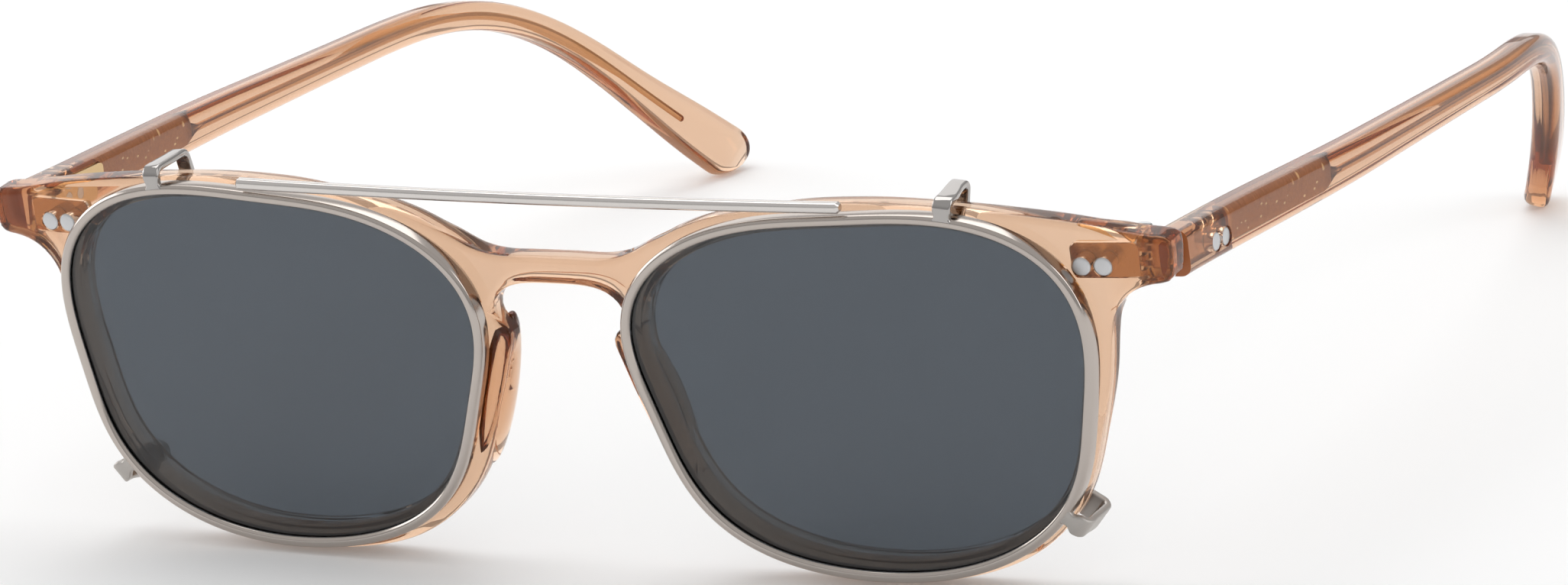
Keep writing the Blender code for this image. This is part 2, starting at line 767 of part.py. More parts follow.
def rivet(depth):
    """Rivet along +Z from its outer face at zero: a flush head and a neck through the leaf."""
    head = depth - LEAF_THICKNESS - FIT
    profile = [
        (0.0, 0.0), (RIVET_RADIUS, 0.0), (RIVET_RADIUS, head),
        (RIVET_NECK_RADIUS, head), (RIVET_NECK_RADIUS, depth), (0.0, depth),
    ]
    return turned("rivet", profile, 16)


def joined(name, meshes):
    """Several separate solids in one mesh."""
    bm = bmesh.new()
    for mesh in meshes:
        bm.from_mesh(mesh)
    made = bpy.data.meshes.new(name)
    bm.to_mesh(made)
    bm.free()
    return made


def front_rivet_axes():
    """Matrices that aim +Z into the front at each rivet."""
    aim = Matrix.Rotation(-pi / 2, 4, "X")
    return [
        hinge_place() @ Matrix.Translation((front_leaf_x() - x, 0, front_leaf_rise())) @ aim
        for x in front_rivet_places()
    ]


def temple_rivet_axes():
    """Matrices that aim +Z into the temple from its outer face at each rivet."""
    aim = Matrix.Rotation(-pi / 2, 4, "Y")
    outer = leaf_face() + TEMPLE_THICKNESS
    return [Matrix.Translation((outer, y, -TEMPLE_RIVET_DROP)) @ aim for y in temple_rivet_places()]


def leaf_pocket(length):
    """Pocket for a leaf, along +X in the XY plane, open on its +Z side."""
    bm = bmesh.new()
    bmesh.ops.create_cube(bm, size=1.0)
    size = (length + 2 * FIT, LEAF_HEIGHT + 2 * FIT, LEAF_THICKNESS + FIT + OVERRUN)
    place = Matrix.Translation((length / 2, 0, OVERRUN / 2 - FIT / 2))
    bmesh.ops.transform(bm, matrix=place @ Matrix.Diagonal((*size, 1)), verts=bm.verts)
    return mesh_from(bm, "pocket")


def rivet_hole(depth):
    """Cutter for one rivet, along +Z from its outer face."""
    bm = bmesh.new()
    radius = RIVET_RADIUS + RIVET_FIT
    length = depth + OVERRUN
    bmesh.ops.create_cone(
        bm, cap_ends=True, segments=16, radius1=radius, radius2=radius, depth=length
    )
    bmesh.ops.translate(bm, vec=(0, 0, length / 2 - OVERRUN), verts=bm.verts)
    return mesh_from(bm, "rivet_hole")


def hinge_screw():
    """Slotted screw down the barrel."""
    top = BARREL_HEIGHT / 2 + BORE_CLEARANCE
    bottom = -BARREL_HEIGHT / 2 - SCREW_OVERHANG
    head = top + SCREW_HEAD_HEIGHT
    profile = [
        (0.0, bottom), (SCREW_RADIUS, bottom), (SCREW_RADIUS, top), (SCREW_HEAD_RADIUS, top),
        (SCREW_HEAD_RADIUS, head - SLOT_DEPTH / 2), (SCREW_HEAD_RADIUS - SLOT_DEPTH / 2, head),
        (0.0, head),
    ]
    body = turned("hinge_screw", profile, 16)
    half = SLOT_WIDTH / 2
    reach = SCREW_HEAD_RADIUS + OVERRUN
    slot = box("slot", (-reach, -half, head - SLOT_DEPTH), (reach, half, head + OVERRUN))
    return moved(combined("hinge_screw", body, slot, "DIFFERENCE"), pin_place())


# Temples

def temple_length():
    """Length of the temple's middle line from the pin to its end."""
    return TEMPLE_STRAIGHT + EAR_BEND_LENGTH + TIP_LENGTH


def temple_line(s):
    """Middle line (y, z) at this distance from the pin: straight, then eased round the ear."""
    past = s - TEMPLE_STRAIGHT
    if past <= 0:
        return s, 0.0
    along = min(past, EAR_BEND_LENGTH)
    share = np.linspace(0, along / EAR_BEND_LENGTH, EAR_BEND_STEPS)
    turn = EAR_BEND_ANGLE * share * share * (3 - 2 * share)
    y = TEMPLE_STRAIGHT + along * float(np.mean(np.cos(turn)[1:] + np.cos(turn)[:-1]) / 2)
    z = -along * float(np.mean(np.sin(turn)[1:] + np.sin(turn)[:-1]) / 2)
    rest = past - along
    return y + rest * cos(turn[-1]), z - rest * sin(turn[-1])


def temple_point(s):
    """Middle of the temple at this distance from the pin, in the temple's own axes."""
    y, z = temple_line(s)
    reach = temple_line(temple_length())[0]
    share = max(0.0, min(1.0, s / TEMPLE_BOW_LENGTH))
    inset = max(0.0, (y - TIP_INSET_START) / (reach - TIP_INSET_START))
    x = leaf_face() + TEMPLE_THICKNESS / 2
    x += TEMPLE_BOW * share * share * (3 - 2 * share) - TIP_INSET * inset * inset
    return Vector((x, y, z))


def temple_axes(s):
    """Side and up directions of the temple's cross-section at this distance from the pin."""
    step = TEMPLE_ROUNDING / 10
    ahead = (temple_point(s + step) - temple_point(s - step)).normalized()
    up = Vector((0, -ahead.z, ahead.y)).normalized()
    return ahead.cross(up).normalized(), up


def temple_section(s, half_thickness, half_height, radius, corner_points):
    """Cross-section loop at this distance from the pin, slanted towards the tip."""
    middle = temple_point(s)
    side, up = temple_axes(s)
    past = max(0.0, s - temple_length() + TIP_SLANT_LENGTH) / TIP_SLANT_LENGTH
    lean = up + up.cross(side).normalized() * TIP_SLANT * past * past
    loop = rounded_loop(half_thickness, half_height, radius, corner_points)
    return [tuple(middle + side * u + lean * v) for u, v in loop]


def temple_half_sizes(s):
    """Half the thickness and half the height at this distance from the pin."""
    share = max(0.0, s / temple_length())
    height = TEMPLE_HEIGHT * smooth_value(TEMPLE_HEIGHT_SHARES, share)
    thickness = TEMPLE_THICKNESS + (TIP_THICKNESS - TEMPLE_THICKNESS) * min(1.0, share) ** 2
    return thickness / 2, height / 2


def butt_plane():
    """Point and direction of the temple's front end, in the temple's own axes."""
    to_temple = pin_place().inverted()
    point = Vector((TEMPLE_X, END_THICKNESS + FIT + bend(TEMPLE_X), HINGE_RISE))
    slope = bend_slope(TEMPLE_X)
    across = Vector((-sin(slope), cos(slope), 0))
    return to_temple @ point, to_temple.to_3x3() @ across


def temple_body():
    """Acetate temple: hinge end, straight run, ear bend and a rounded tip."""
    length = temple_length()
    start = -PIN_DEPTH
    stations = [start + (TEMPLE_STRAIGHT - start) * i / 10 for i in range(10)]
    rest = length - TIP_ROUND - TEMPLE_STRAIGHT
    stations += [TEMPLE_STRAIGHT + rest * i / 14 for i in range(15)]
    sections = []
    for s in stations:
        half_thickness, half_height = temple_half_sizes(s)
        sections.append(temple_section(s, half_thickness, half_height, TEMPLE_ROUNDING, 4))
    half_thickness, half_height = temple_half_sizes(length)
    for turn in (24, 46, 65, 81):
        s = length - TIP_ROUND + TIP_ROUND * sin(radians(turn))
        shrink = cos(radians(turn))
        round_off = half_thickness * (0.45 + 0.55 * shrink)
        high = half_height * shrink
        sections.append(temple_section(s, round_off, high, TEMPLE_ROUNDING * shrink, 4))
    mesh = loft("temple", sections)
    bm = bmesh.new()
    bm.from_mesh(mesh)
    point, across = butt_plane()
    geometry = list(bm.verts) + list(bm.edges) + list(bm.faces)
    result = bmesh.ops.bisect_plane(
        bm, geom=geometry, dist=MERGE, plane_co=point, plane_no=across, clear_inner=True
    )
    edges = [item for item in result["geom_cut"] if isinstance(item, bmesh.types.BMEdge)]
    bmesh.ops.contextual_create(bm, geom=edges)
    return mesh_from(bm, "temple")


def core_start():
    """Distance from the pin to the front end of the core."""
    return temple_rivet_places()[-1] + RIVET_RADIUS + RIVET_FIT + FIT


def core_body(growth):
    """Core wire with its flattened front end, grown for the channel that holds it."""
    start = core_start() + FIT - growth
    plate_end = core_start() + CORE_PLATE_LENGTH
    wire_end = temple_length() - CORE_END_GAP + growth
    thick = CORE_PLATE_THICKNESS / 2 + growth
    high = CORE_PLATE_HEIGHT / 2 + growth
    wire = CORE_WIRE_RADIUS + growth
    sections = []
    for i in range(5):
        s = start + (plate_end - start) * i / 4
        sections.append(temple_section(s, thick, high, thick / 2, 2))
    for share in (0.5, 1.0):
        s = plate_end + CORE_POINT_LENGTH * share
        half_height = high + (wire - high) * share
        half_thickness = thick + (wire - thick) * share
        sections.append(temple_section(s, half_thickness, half_height, half_thickness, 2))
    wire_start = plate_end + CORE_POINT_LENGTH
    steps = 18
    for i in range(1, steps + 1):
        s = wire_start + (wire_end - wire_start) * (i / steps) ** 0.8
        sections.append(temple_section(s, wire, wire, wire * 0.6, 2))
    return loft("core", sections)


def temples(model, acetate, steel):
    """Both temples with their cores, hinge leaves and rivets."""
    bodies = model.add_pair("temple", temple_body(), acetate, on_temple=True)
    model.add_pair("temple_core", core_body(0.0), steel["core"], on_temple=True)
    model.add_pair("temple_hinge", temple_hinge(), steel["hinge"], on_temple=True)
    for number, axis in enumerate(temple_rivet_axes(), 1):
        piece = moved(rivet(TEMPLE_THICKNESS), axis)
        model.add_pair("temple_rivet_%d" % number, piece, steel["rivet"], on_temple=True)

    channel = core_body(FIT)
    turn = Matrix(((0, 0, -1, 0), (1, 0, 0, 0), (0, -1, 0, 0), (0, 0, 0, 1)))
    deep = leaf_face() + LEAF_THICKNESS / 2
    length = TEMPLE_LEAF_LENGTH + PIN_DEPTH
    place = Matrix.Translation((deep, -PIN_DEPTH, 0))
    pocket = moved(leaf_pocket(length), place @ turn)
    depth = TEMPLE_THICKNESS - LEAF_THICKNESS
    holes = [moved(rivet_hole(depth), axis) for axis in temple_rivet_axes()]
    for side, piece in bodies.items():
        for name, tool in (("channel", channel), ("pocket", pocket), ("holes", joined("h", holes))):
            mesh = tool.copy() if side == "left" else mirrored(tool, name)
            model.cut(piece, mesh, "temple_%s_%s" % (name, side), model.pivots[side])


def front_hinges(model, front, steel):
    """Front leaves, screws and rivets, with their pockets and holes."""
    model.add_pair("front_hinge", front_hinge(), steel["hinge"])
    model.add_pair("hinge_screw", hinge_screw(), steel["screw"])
    for number, axis in enumerate(front_rivet_axes(), 1):
        piece = moved(rivet(END_THICKNESS), axis)
        model.add_pair("front_rivet_%d" % number, piece, steel["rivet"])

    turn = Matrix.Rotation(pi, 4, "Z")
    middle = END_THICKNESS - LEAF_THICKNESS / 2
    shift = Matrix.Translation((front_leaf_x(), middle, front_leaf_rise()))
    flip = Matrix.Rotation(pi, 4, "X")
    pocket = moved(leaf_pocket(FRONT_LEAF_LENGTH), hinge_place() @ shift @ STAND @ turn @ flip)
    depth = END_THICKNESS - LEAF_THICKNESS
    holes = [moved(rivet_hole(depth), axis) for axis in front_rivet_axes()]
    for side in ("left", "right"):
        for name, tool in (("pocket", pocket), ("holes", joined("h", holes))):
            mesh = tool.copy() if side == "left" else mirrored(tool, name)
            model.cut(front, mesh, "front_%s_%s" % (name, side))


# Clip

def clip_rim():
    """Silver rim: a grooved strip with bevelled front edges, swept round the lens."""
    lens_front = CLIP_FRONT + (CLIP_RIM_DEPTH - CLIP_LENS_THICKNESS) / 2
    lens_back = lens_front + CLIP_LENS_THICKNESS
    section = [
        (0.0, CLIP_BACK),
        (0.0, lens_back + CLIP_LENS_PLAY),
        (CLIP_GROOVE_DEPTH, lens_back + CLIP_LENS_PLAY),
        (CLIP_GROOVE_DEPTH, lens_front - CLIP_LENS_PLAY),
        (0.0, lens_front - CLIP_LENS_PLAY),
        (CLIP_RIM_BEVEL, CLIP_FRONT),
        (CLIP_RIM_WIDTH - CLIP_RIM_BEVEL, CLIP_FRONT),
        (CLIP_RIM_WIDTH, CLIP_FRONT + CLIP_RIM_BEVEL),
        (CLIP_RIM_WIDTH, CLIP_BACK),
    ]
    sections = []
    count = 44
    for i in range(count):
        angle = 2 * pi * i / count
        ring = []
        for growth, depth in section:
            x, z = lens_point(angle, CLIP_OVERLAP + growth)
            ring.append((x, depth + bend(x), z))
        sections.append(ring)
    return ring_sweep("clip_rim", sections)


def clip_lens():
    """Tinted lens held in the rim's groove."""
    front = CLIP_FRONT + (CLIP_RIM_DEPTH - CLIP_LENS_THICKNESS) / 2
    return lens_body("clip_lens", CLIP_OVERLAP + CLIP_LENS_GROWTH, front, CLIP_LENS_THICKNESS)


def bar_rise():
    """Height of the brow bar's middle: just above the rims that it joins."""
    rim_top = HALF_HEIGHT + CLIP_OVERLAP + CLIP_RIM_WIDTH
    return rim_top + FIT / 2 + BAR_HEIGHT / 2


def brow_bar():
    """Bevelled bar along the tops of both rims."""
    front = CLIP_FRONT - BAR_LEAD
    sections = []
    steps = 24
    for i in range(steps + 1):
        x = BAR_HALF_LENGTH * (2 * i / steps - 1)
        shrink = 1.0 if 0 < i < steps else 0.7
        loop = rounded_loop(BAR_DEPTH / 2 * shrink, BAR_HEIGHT / 2 * shrink, BAR_BEVEL, 2)
        depth = front + BAR_DEPTH / 2 + bend(x)
        sections.append([(x, depth + u, bar_rise() + v) for u, v in loop])
    return loft("clip_brow_bar", sections)


def hook(angle, widths, shift, reach, crest):
    """Folded strap from the rim over the acetate's edge and down behind it."""
    base = Vector(lens_point(radians(angle)))
    out = lens_normal(radians(angle))
    neck, wide, end = widths
    half = HOOK_THICKNESS / 2
    start = CLIP_OVERLAP + CLIP_RIM_WIDTH + FIT
    top = crest + half
    near = CLIP_FRONT + half
    far = FRONT_THICKNESS + FIT + half
    fold = HOOK_THICKNESS
    narrow = (start + top - fold) / 2
    path = [(start, near, neck, 0.0), (narrow, near, neck, 0.0), (top - fold, near, wide, 0.0)]
    for turn in (30, 60, 90):
        turn = radians(turn)
        path.append((top - fold + fold * sin(turn), near + fold * (1 - cos(turn)), wide, 0.0))
    path.append((top, far - fold, (wide + end) / 2, 0.7))
    for turn in (30, 60, 90):
        turn = radians(turn)
        path.append((top - fold * (1 - cos(turn)), far - fold + fold * sin(turn), end, 0.85))
    path.append((top - fold - reach, far, end, 1.0))
    sections = []
    for i, (height, depth, width, share) in enumerate(path):
        before = path[max(0, i - 1)]
        after = path[min(len(path) - 1, i + 1)]
        run = Vector((after[0] - before[0], after[1] - before[1])).normalized()
        cross = Vector((-run.y, run.x))
        ring = []
        for u, v in ((1, 1), (1, -1), (-1, -1), (-1, 1)):
            rise = height + cross.x * half * u
            deep = depth + cross.y * half * u
            across = v * width / 2 - shift * share
            x = base.x + out.x * rise + out.y * across
            z = base.y + out.y * rise - out.x * across
            ring.append((x, deep + bend(x), z))
        sections.append(ring)
    return triangulated(loft("hook", sections))


def clip(model, steel, tint):
    """The whole clip: two rims with lenses, the brow bar and four hooks."""
    model.add_pair("clip_rim", clip_rim(), steel["rim"])
    model.add_pair("clip_lens", clip_lens(), tint)
    model.add("clip_brow_bar", brow_bar(), steel["bar"])
    top = hook(
        TOP_HOOK_ANGLE, TOP_HOOK_WIDTHS, TOP_HOOK_SHIFT, TOP_HOOK_REACH,
        brow_over_lens(TOP_HOOK_ANGLE) + TOP_HOOK_CLEARANCE,
    )
    model.add_pair("clip_top_hook", top, steel["hook"])
    lower = hook(
        LOWER_HOOK_ANGLE, LOWER_HOOK_WIDTHS, LOWER_HOOK_SHIFT, LOWER_HOOK_REACH,
        rim_over_lens(LOWER_HOOK_ANGLE) + LOWER_HOOK_CLEARANCE,
    )
    model.add_pair("clip_lower_hook", lower, steel["hook"])


def brow_over_lens(angle):
    """Height of the brow's edge over the lens outline at this angle, along the normal."""
    x, z = lens_point(radians(angle))
    out = lens_normal(radians(angle))
    share = (x - EYE_X) / HALF_WIDTH
    edge = smooth_value(BROW_SHARES, share) * BROW_TOP
    return (edge - z) * out.y


def rim_over_lens(angle):
    """Width of the rim outside the lens outline at this angle."""
    return RIM_WIDTH * smooth_value(RIM_SHARES[::-1], angle)


def world_points(names):
    """Points of these pieces in the root's axes, as the viewport shows them."""
    bpy.context.view_layer.update()
    graph = bpy.context.evaluated_depsgraph_get()
    points = []
    for name in names:
        piece = bpy.data.objects[name].evaluated_get(graph)
        mesh = piece.to_mesh()
        points += [piece.matrix_world @ vert.co for vert in mesh.vertices]
        piece.to_mesh_clear()
    return np.array(points)


def stand_on_table(model):
    """Lean the glasses back until rims and tips touch the table, and centre them over the origin."""
    front = world_points(["front_frame"])
    tips = world_points(["temple_left", "temple_right"])
    low, high = radians(-10), radians(20)
    for _ in range(50):
        lean = (low + high) / 2
        front_low = (front[:, 2] * cos(lean) + front[:, 1] * sin(lean)).min()
        tips_low = (tips[:, 2] * cos(lean) + tips[:, 1] * sin(lean)).min()
        if tips_low < front_low:
            low = lean
        else:
            high = lean
    model.root.rotation_euler = (lean, 0, 0)
    names = [item.name for item in model.parts.objects if item.type == "MESH"]
    points = world_points(names)
    floor = points[:, 2].min()
    middle = (points[:, 1].min() + points[:, 1].max()) / 2
    model.root.location = (0, -middle, -floor)
    bpy.context.view_layer.update()


def main():
    """Build the eyeglasses with the clip on."""
    clear_scene()
    model = Model()
    acetate = finish("peach_acetate", "D6AA87", 0.15, transmission=0.6)
    temple_acetate = finish("peach_acetate_temple", "D0A07C", 0.15, transmission=0.6)
    clear = finish("clear_lens", "EDEEEC", 0.05, transmission=0.95)
    tint = finish("grey_lens", "5A6067", 0.05, transmission=0.6)
    steel = {
        "hinge": finish("nickel_silver_hinge", "C9BFA8", 0.3, metallic=1.0),
        "screw": finish("steel_screw", "C4C6C8", 0.3, metallic=1.0),
        "rivet": finish("satin_rivet", "C6CBD0", 0.4, metallic=1.0),
        "core": finish("bronze_core", "8A6A4C", 0.45, metallic=1.0),
        "rim": finish("silver_rim", "D2D3D4", 0.25, metallic=1.0),
        "bar": finish("silver_bar", "D6D8DA", 0.2, metallic=1.0),
        "hook": finish("silver_hook", "D0D2D4", 0.2, metallic=1.0),
    }
    front = front_frame(model, acetate)
    demo = lens_body("demo_lens", LENS_BEVEL_DEPTH, LENS_SETBACK, LENS_THICKNESS)
    model.add_pair("demo_lens", demo, clear)
    front_hinges(model, front, steel)
    temples(model, temple_acetate, steel)
    clip(model, steel, tint)
    stand_on_table(model)


main()
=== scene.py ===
"""Finished look of a pair of acetate eyeglasses with a sun clip hooked over the front.

Front axes: +X is the wearer's left, +Y runs back from the front's outer face and +Z is up.
Z = 0 is the line through the middle of both lenses. The front is drawn flat and then bent.
"""

import json
from math import asin, atan2, cos, pi, radians, sin

import bmesh
import bpy
import numpy as np
from bpy.props import FloatProperty, FloatVectorProperty, IntProperty, PointerProperty
from mathutils import Euler, Matrix, Vector


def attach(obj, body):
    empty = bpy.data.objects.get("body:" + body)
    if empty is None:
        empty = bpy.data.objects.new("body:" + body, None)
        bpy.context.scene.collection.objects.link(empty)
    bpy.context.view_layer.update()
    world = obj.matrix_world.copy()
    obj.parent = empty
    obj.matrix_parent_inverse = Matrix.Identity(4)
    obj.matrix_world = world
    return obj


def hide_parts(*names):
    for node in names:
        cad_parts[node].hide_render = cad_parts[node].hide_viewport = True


bl_info = {
    "name": "Clip-on Eyeglasses",
    "version": (1, 0, 0),
    "blender": (4, 5, 0),
    "location": "3D View > Sidebar > Eyewear",
    "description": "Dresses the CAD frame of a pair of eyeglasses with a sun clip",
    "category": "Object",
}

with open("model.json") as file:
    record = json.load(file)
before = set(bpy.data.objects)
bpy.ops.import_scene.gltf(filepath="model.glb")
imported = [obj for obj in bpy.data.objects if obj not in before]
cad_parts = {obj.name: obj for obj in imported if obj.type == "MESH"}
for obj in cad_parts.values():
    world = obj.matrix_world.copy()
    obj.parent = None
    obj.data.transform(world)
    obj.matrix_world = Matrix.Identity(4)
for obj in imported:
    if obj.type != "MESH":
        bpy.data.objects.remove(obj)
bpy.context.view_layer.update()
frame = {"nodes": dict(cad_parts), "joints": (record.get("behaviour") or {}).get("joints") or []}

# Lenses and the openings they sit in
LENS_WIDTH = 0.0484
LENS_HEIGHT = 0.0366
LENS_GAP = 0.0203
LENS_THICKNESS = 0.0014
LENS_BEVEL_DEPTH = 0.0005
LENS_SETBACK = 0.0013
LENS_HALF_FLAT = 0.0002
LENS_POINTS = 180
GROOVE_DEPTH = 0.0009
GROOVE_HALF_FLAT = 0.0003
# Left opening as shares of half its width and half its height, every 20 degrees
LENS_OUTLINE_SHARES = (
    (0.97, -0.03), (1.00, 0.37), (0.89, 0.75), (0.56, 0.97), (0.16, 1.00), (-0.15, 0.98),
    (-0.51, 0.92), (-0.86, 0.71), (-0.99, 0.39), (-0.98, 0.03), (-0.89, -0.29), (-0.75, -0.63),
    (-0.52, -0.87), (-0.17, -0.99), (0.16, -0.99), (0.50, -0.90), (0.78, -0.67), (0.92, -0.34),
)

# Acetate front
FRONT_THICKNESS = 0.0035
BEND_RADIUS = 0.6220
RIM_WIDTH = 0.0025
BROW_WIDTH = 0.00225
BRIDGE_HEIGHT = 0.00305
ENDPIECE_LENGTH = 0.0106
ENDPIECE_HEIGHT = 0.0055
ENDPIECE_EXTRA = 0.0006
ENDPIECE_RAMP = 0.0020
ENDPIECE_RAMP_LENGTH = 0.0035
# Brow line: shares of half a lens width out from the lens centre, and of the brow's top height
BROW_SHARES = (
    (-1.043, 0.698), (-0.950, 0.754), (-0.886, 0.788), (-0.808, 0.832), (-0.729, 0.869),
    (-0.655, 0.897), (-0.498, 0.936), (-0.353, 0.959), (-0.221, 0.981), (0.002, 0.998),
    (0.151, 1.00), (0.374, 0.989), (0.605, 0.969), (0.812, 0.944), (1.126, 0.889),
)
BROW_END_SHARE = 0.856
# Endpiece: shares of its length past the lens, and of its height below the brow's end
ENDPIECE_SHARES = (
    (0.553, -0.020), (0.786, 0.042), (0.916, 0.078), (0.981, 0.142), (1.00, 0.262),
    (0.997, 0.47), (0.986, 0.725), (0.963, 0.889), (0.907, 0.971), (0.823, 1.00),
    (0.679, 1.053), (0.526, 1.189), (0.405, 1.407), (0.340, 1.616), (0.298, 1.925),
    (0.265, 2.34),
)
# Rim around the eye: angle in degrees and share of the rim width
RIM_SHARES = (
    (10, 1.10), (0, 1.00), (-13, 0.82), (-24, 0.77), (-33, 0.83), (-42, 0.94), (-50, 1.05),
    (-60, 1.10), (-75, 1.12), (-90, 1.15), (-105, 1.18), (-119, 1.25), (-130, 1.24),
    (-142, 1.27), (-150, 1.33), (-158, 1.38), (-166, 1.42), (-174, 1.46),
)
# Nose side and keyhole: shares of half the gap between lenses and of half a lens height
NOSE_SHARES = (
    (0.729, 0.000), (0.680, 0.087), (0.633, 0.169), (0.601, 0.246), (0.619, 0.287),
    (0.665, 0.311), (0.719, 0.342), (0.751, 0.383), (0.747, 0.432), (0.719, 0.470),
    (0.670, 0.503), (0.601, 0.533), (0.512, 0.555), (0.384, 0.571), (0.197, 0.578),
)
KEYHOLE_TOP_SHARE = 0.579
PAD_DEPTH = 0.0025
PAD_SEAT_SHARE = 0.9
PAD_LENGTH = 0.0180
PAD_WIDTH = 0.0034
PAD_INSET = 0.0005
PAD_DROP = 0.0024
PAD_TILT = radians(17)
PAD_SPLAY = radians(20)

# Hinges and rivets
PIN_CLEARANCE = 0.0003
KNUCKLE_RADIUS = 0.0013
LEAF_THICKNESS = 0.0011
LEAF_HEIGHT = 0.0036
LEAF_ROUNDING = 0.0007
LEAF_PLAY = 0.00012
FRONT_LEAF_LENGTH = 0.00715
TEMPLE_LEAF_LENGTH = 0.0114
HINGE_RISE = 0.01384
FIT = 0.0003
RIVET_RADIUS = 0.00102
RIVET_EDGE = 0.00012
RIVET_CROWN = 0.00004
RIVET_NECK = 0.0006
HOLE_PLAY = 0.00004
RIVET_SPACING = 0.0023
FRONT_RIVET_INSET = 0.0016
TEMPLE_RIVET_START = 0.0057
TEMPLE_RIVET_DROP = 0.0004

# Temples
TEMPLE_THICKNESS = 0.0038
TEMPLE_SECTIONS = 90
TEMPLE_CORNER_POINTS = 7
BUTT_FACING = -0.9
TIP_ROUND = 0.00285
TIP_BLUNTNESS = 0.45
TEMPLE_STRAIGHT = 0.0818
EAR_BEND_LENGTH = 0.0404
EAR_BEND_ANGLE = radians(43.3)
EAR_BEND_STEPS = 60
TIP_LENGTH = 0.0175
TIP_SLANT = 0.33
TIP_SLANT_LENGTH = 0.0120
TIP_INSET = 0.0175
TIP_INSET_START = 0.0754
TEMPLE_BOW = 0.0015
TEMPLE_BOW_LENGTH = 0.0450
PANTOSCOPIC_ANGLE = radians(7.13)
# Height along the temple: shares of its length and of its height at the hinge
TEMPLE_HEIGHT_SHARES = (
    (0.00, 1.00), (0.12, 0.99), (0.26, 0.907), (0.37, 0.82), (0.49, 0.736), (0.60, 0.696),
    (0.67, 0.69), (0.78, 0.67), (0.88, 0.907), (0.96, 1.34), (1.00, 1.34),
)
CORE_PLATE_LENGTH = 0.0220
CORE_POINT_LENGTH = 0.0036
CORE_END_GAP = 0.0100
CORE_END_SHRINK = 0.85
CORE_ROUNDING_SHARE = 0.4
CORE_ROW_GAP = 0.001

# Clip
CLIP_GAP = 0.0003
CLIP_OVERLAP = 0.0008
CLIP_RIM_WIDTH = 0.00115
CLIP_RIM_DEPTH = 0.0018
CLIP_LENS_THICKNESS = 0.0006
CLIP_GROOVE_DEPTH = 0.00055
CLIP_LENS_GROWTH = 0.0003
CLIP_LENS_PLAY = 0.00025
CLIP_LENS_EDGE = 0.0001
CLIP_RIM_POINTS = 240
BAR_HALF_LENGTH = 0.0350
BAR_HEIGHT = 0.00115
BAR_DEPTH = 0.0013
BAR_LEAD = 0.0005
# Dressed ends of the bar: how far each row stands out, and the share of the section left there
BAR_ENDS = ((0.00025, 0.6), (0.0001, 0.85))
TOP_HOOK_ANGLE = 64
LOWER_HOOK_ANGLE = -37
# Where a hook's foot stops flaring and its fold starts to spread, as shares of its rise, and
# the share of its sideways shift that is reached on top
HOOK_FLARE_END = 0.4
HOOK_SPREAD_START = 0.45
HOOK_SHIFT_ON_TOP = 0.85

# Metals: colour, highest and lowest roughness, grain per metre and its depth
METALS = {
    "satin_silver_plate": ("silver", 0.24, 0.14, 5000.0, 0.000002),
    "drawn_silver_wire": ("rim_silver", 0.22, 0.12, 5000.0, 0.000002),
    "bright_silver_plate": ("bright_silver", 0.09, 0.04, 3000.0, 0.000001),
    "matt_silver_plate": ("matt_silver", 0.50, 0.38, 5000.0, 0.000003),
    "satin_rivet_steel": ("rivet", 0.50, 0.40, 9000.0, 0.000004),
    "milled_nickel_silver": ("hinge", 0.32, 0.18, 5000.0, 0.00002),
    "turned_screw_steel": ("screw", 0.30, 0.15, 6000.0, 0.00001),
    "drawn_bronze_wire": ("wire", 0.22, 0.12, 2500.0, 0.000003),
}
LENS_IOR = 1.50
ACETATE_IOR = 1.46
# What tumbling leaves on the acetate: waves per metre, their height, and roughness low and high
ACETATE_WAVES = 260.0
ACETATE_WAVE_HEIGHT = 0.00004
ACETATE_ROUGHNESS = (0.015, 0.06)
# The core's pressed dots carry a painted glint: a pale gold painted on in place of the light they
# catch.
# Core's dots: cells per metre, the scale that draws them out along the temple, and where a
# dot's edge lies in its cell
DOT_CELLS = 1500.0
DOT_STRETCH = 0.55
DOT_EDGE = (0.14, 0.24)
CORE_GRAIN = 3200.0
SAND_GRAIN = 4000.0

# Working distances and angles
MERGE = 0.0000005
SLIVER = 0.000004
BEND_STEP = 0.003
CUT_PAST = 0.0010
FLAT_ANGLE = radians(0.1)
SHARP_ANGLE = radians(32)

# Sizes that follow from those above
HALF_GAP = LENS_GAP / 2
HALF_WIDTH = LENS_WIDTH / 2
HALF_HEIGHT = LENS_HEIGHT / 2
EYE_X = HALF_GAP + HALF_WIDTH
LENS_END_X = HALF_GAP + LENS_WIDTH
END_X = LENS_END_X + ENDPIECE_LENGTH
BROW_TOP = HALF_HEIGHT + BROW_WIDTH
TEMPLE_X = END_X - TEMPLE_THICKNESS / 2
LEAF_FACE = KNUCKLE_RADIUS + PIN_CLEARANCE
PIN_X = TEMPLE_X - TEMPLE_THICKNESS / 2 - LEAF_FACE
END_THICKNESS = FRONT_THICKNESS + ENDPIECE_EXTRA
PIN_DEPTH = END_THICKNESS + PIN_CLEARANCE + KNUCKLE_RADIUS
CLIP_BACK = -CLIP_GAP
CLIP_FRONT = CLIP_BACK - CLIP_RIM_DEPTH
TEMPLE_LENGTH = TEMPLE_STRAIGHT + EAR_BEND_LENGTH + TIP_LENGTH
CORE_START = TEMPLE_RIVET_START + RIVET_SPACING + RIVET_RADIUS + 2 * FIT
CORE_PLATE_END = CORE_START - FIT + CORE_PLATE_LENGTH


def bend(x):
    """Depth added by the front's bend at this distance from the middle."""
    return x * x / (2 * BEND_RADIUS)


def clamped(value):
    """The value, kept between 0 and 1."""
    return max(0.0, min(1.0, value))


def eased(share):
    """Smooth step from 0 to 1, level at both ends."""
    return share * share * (3 - 2 * share)


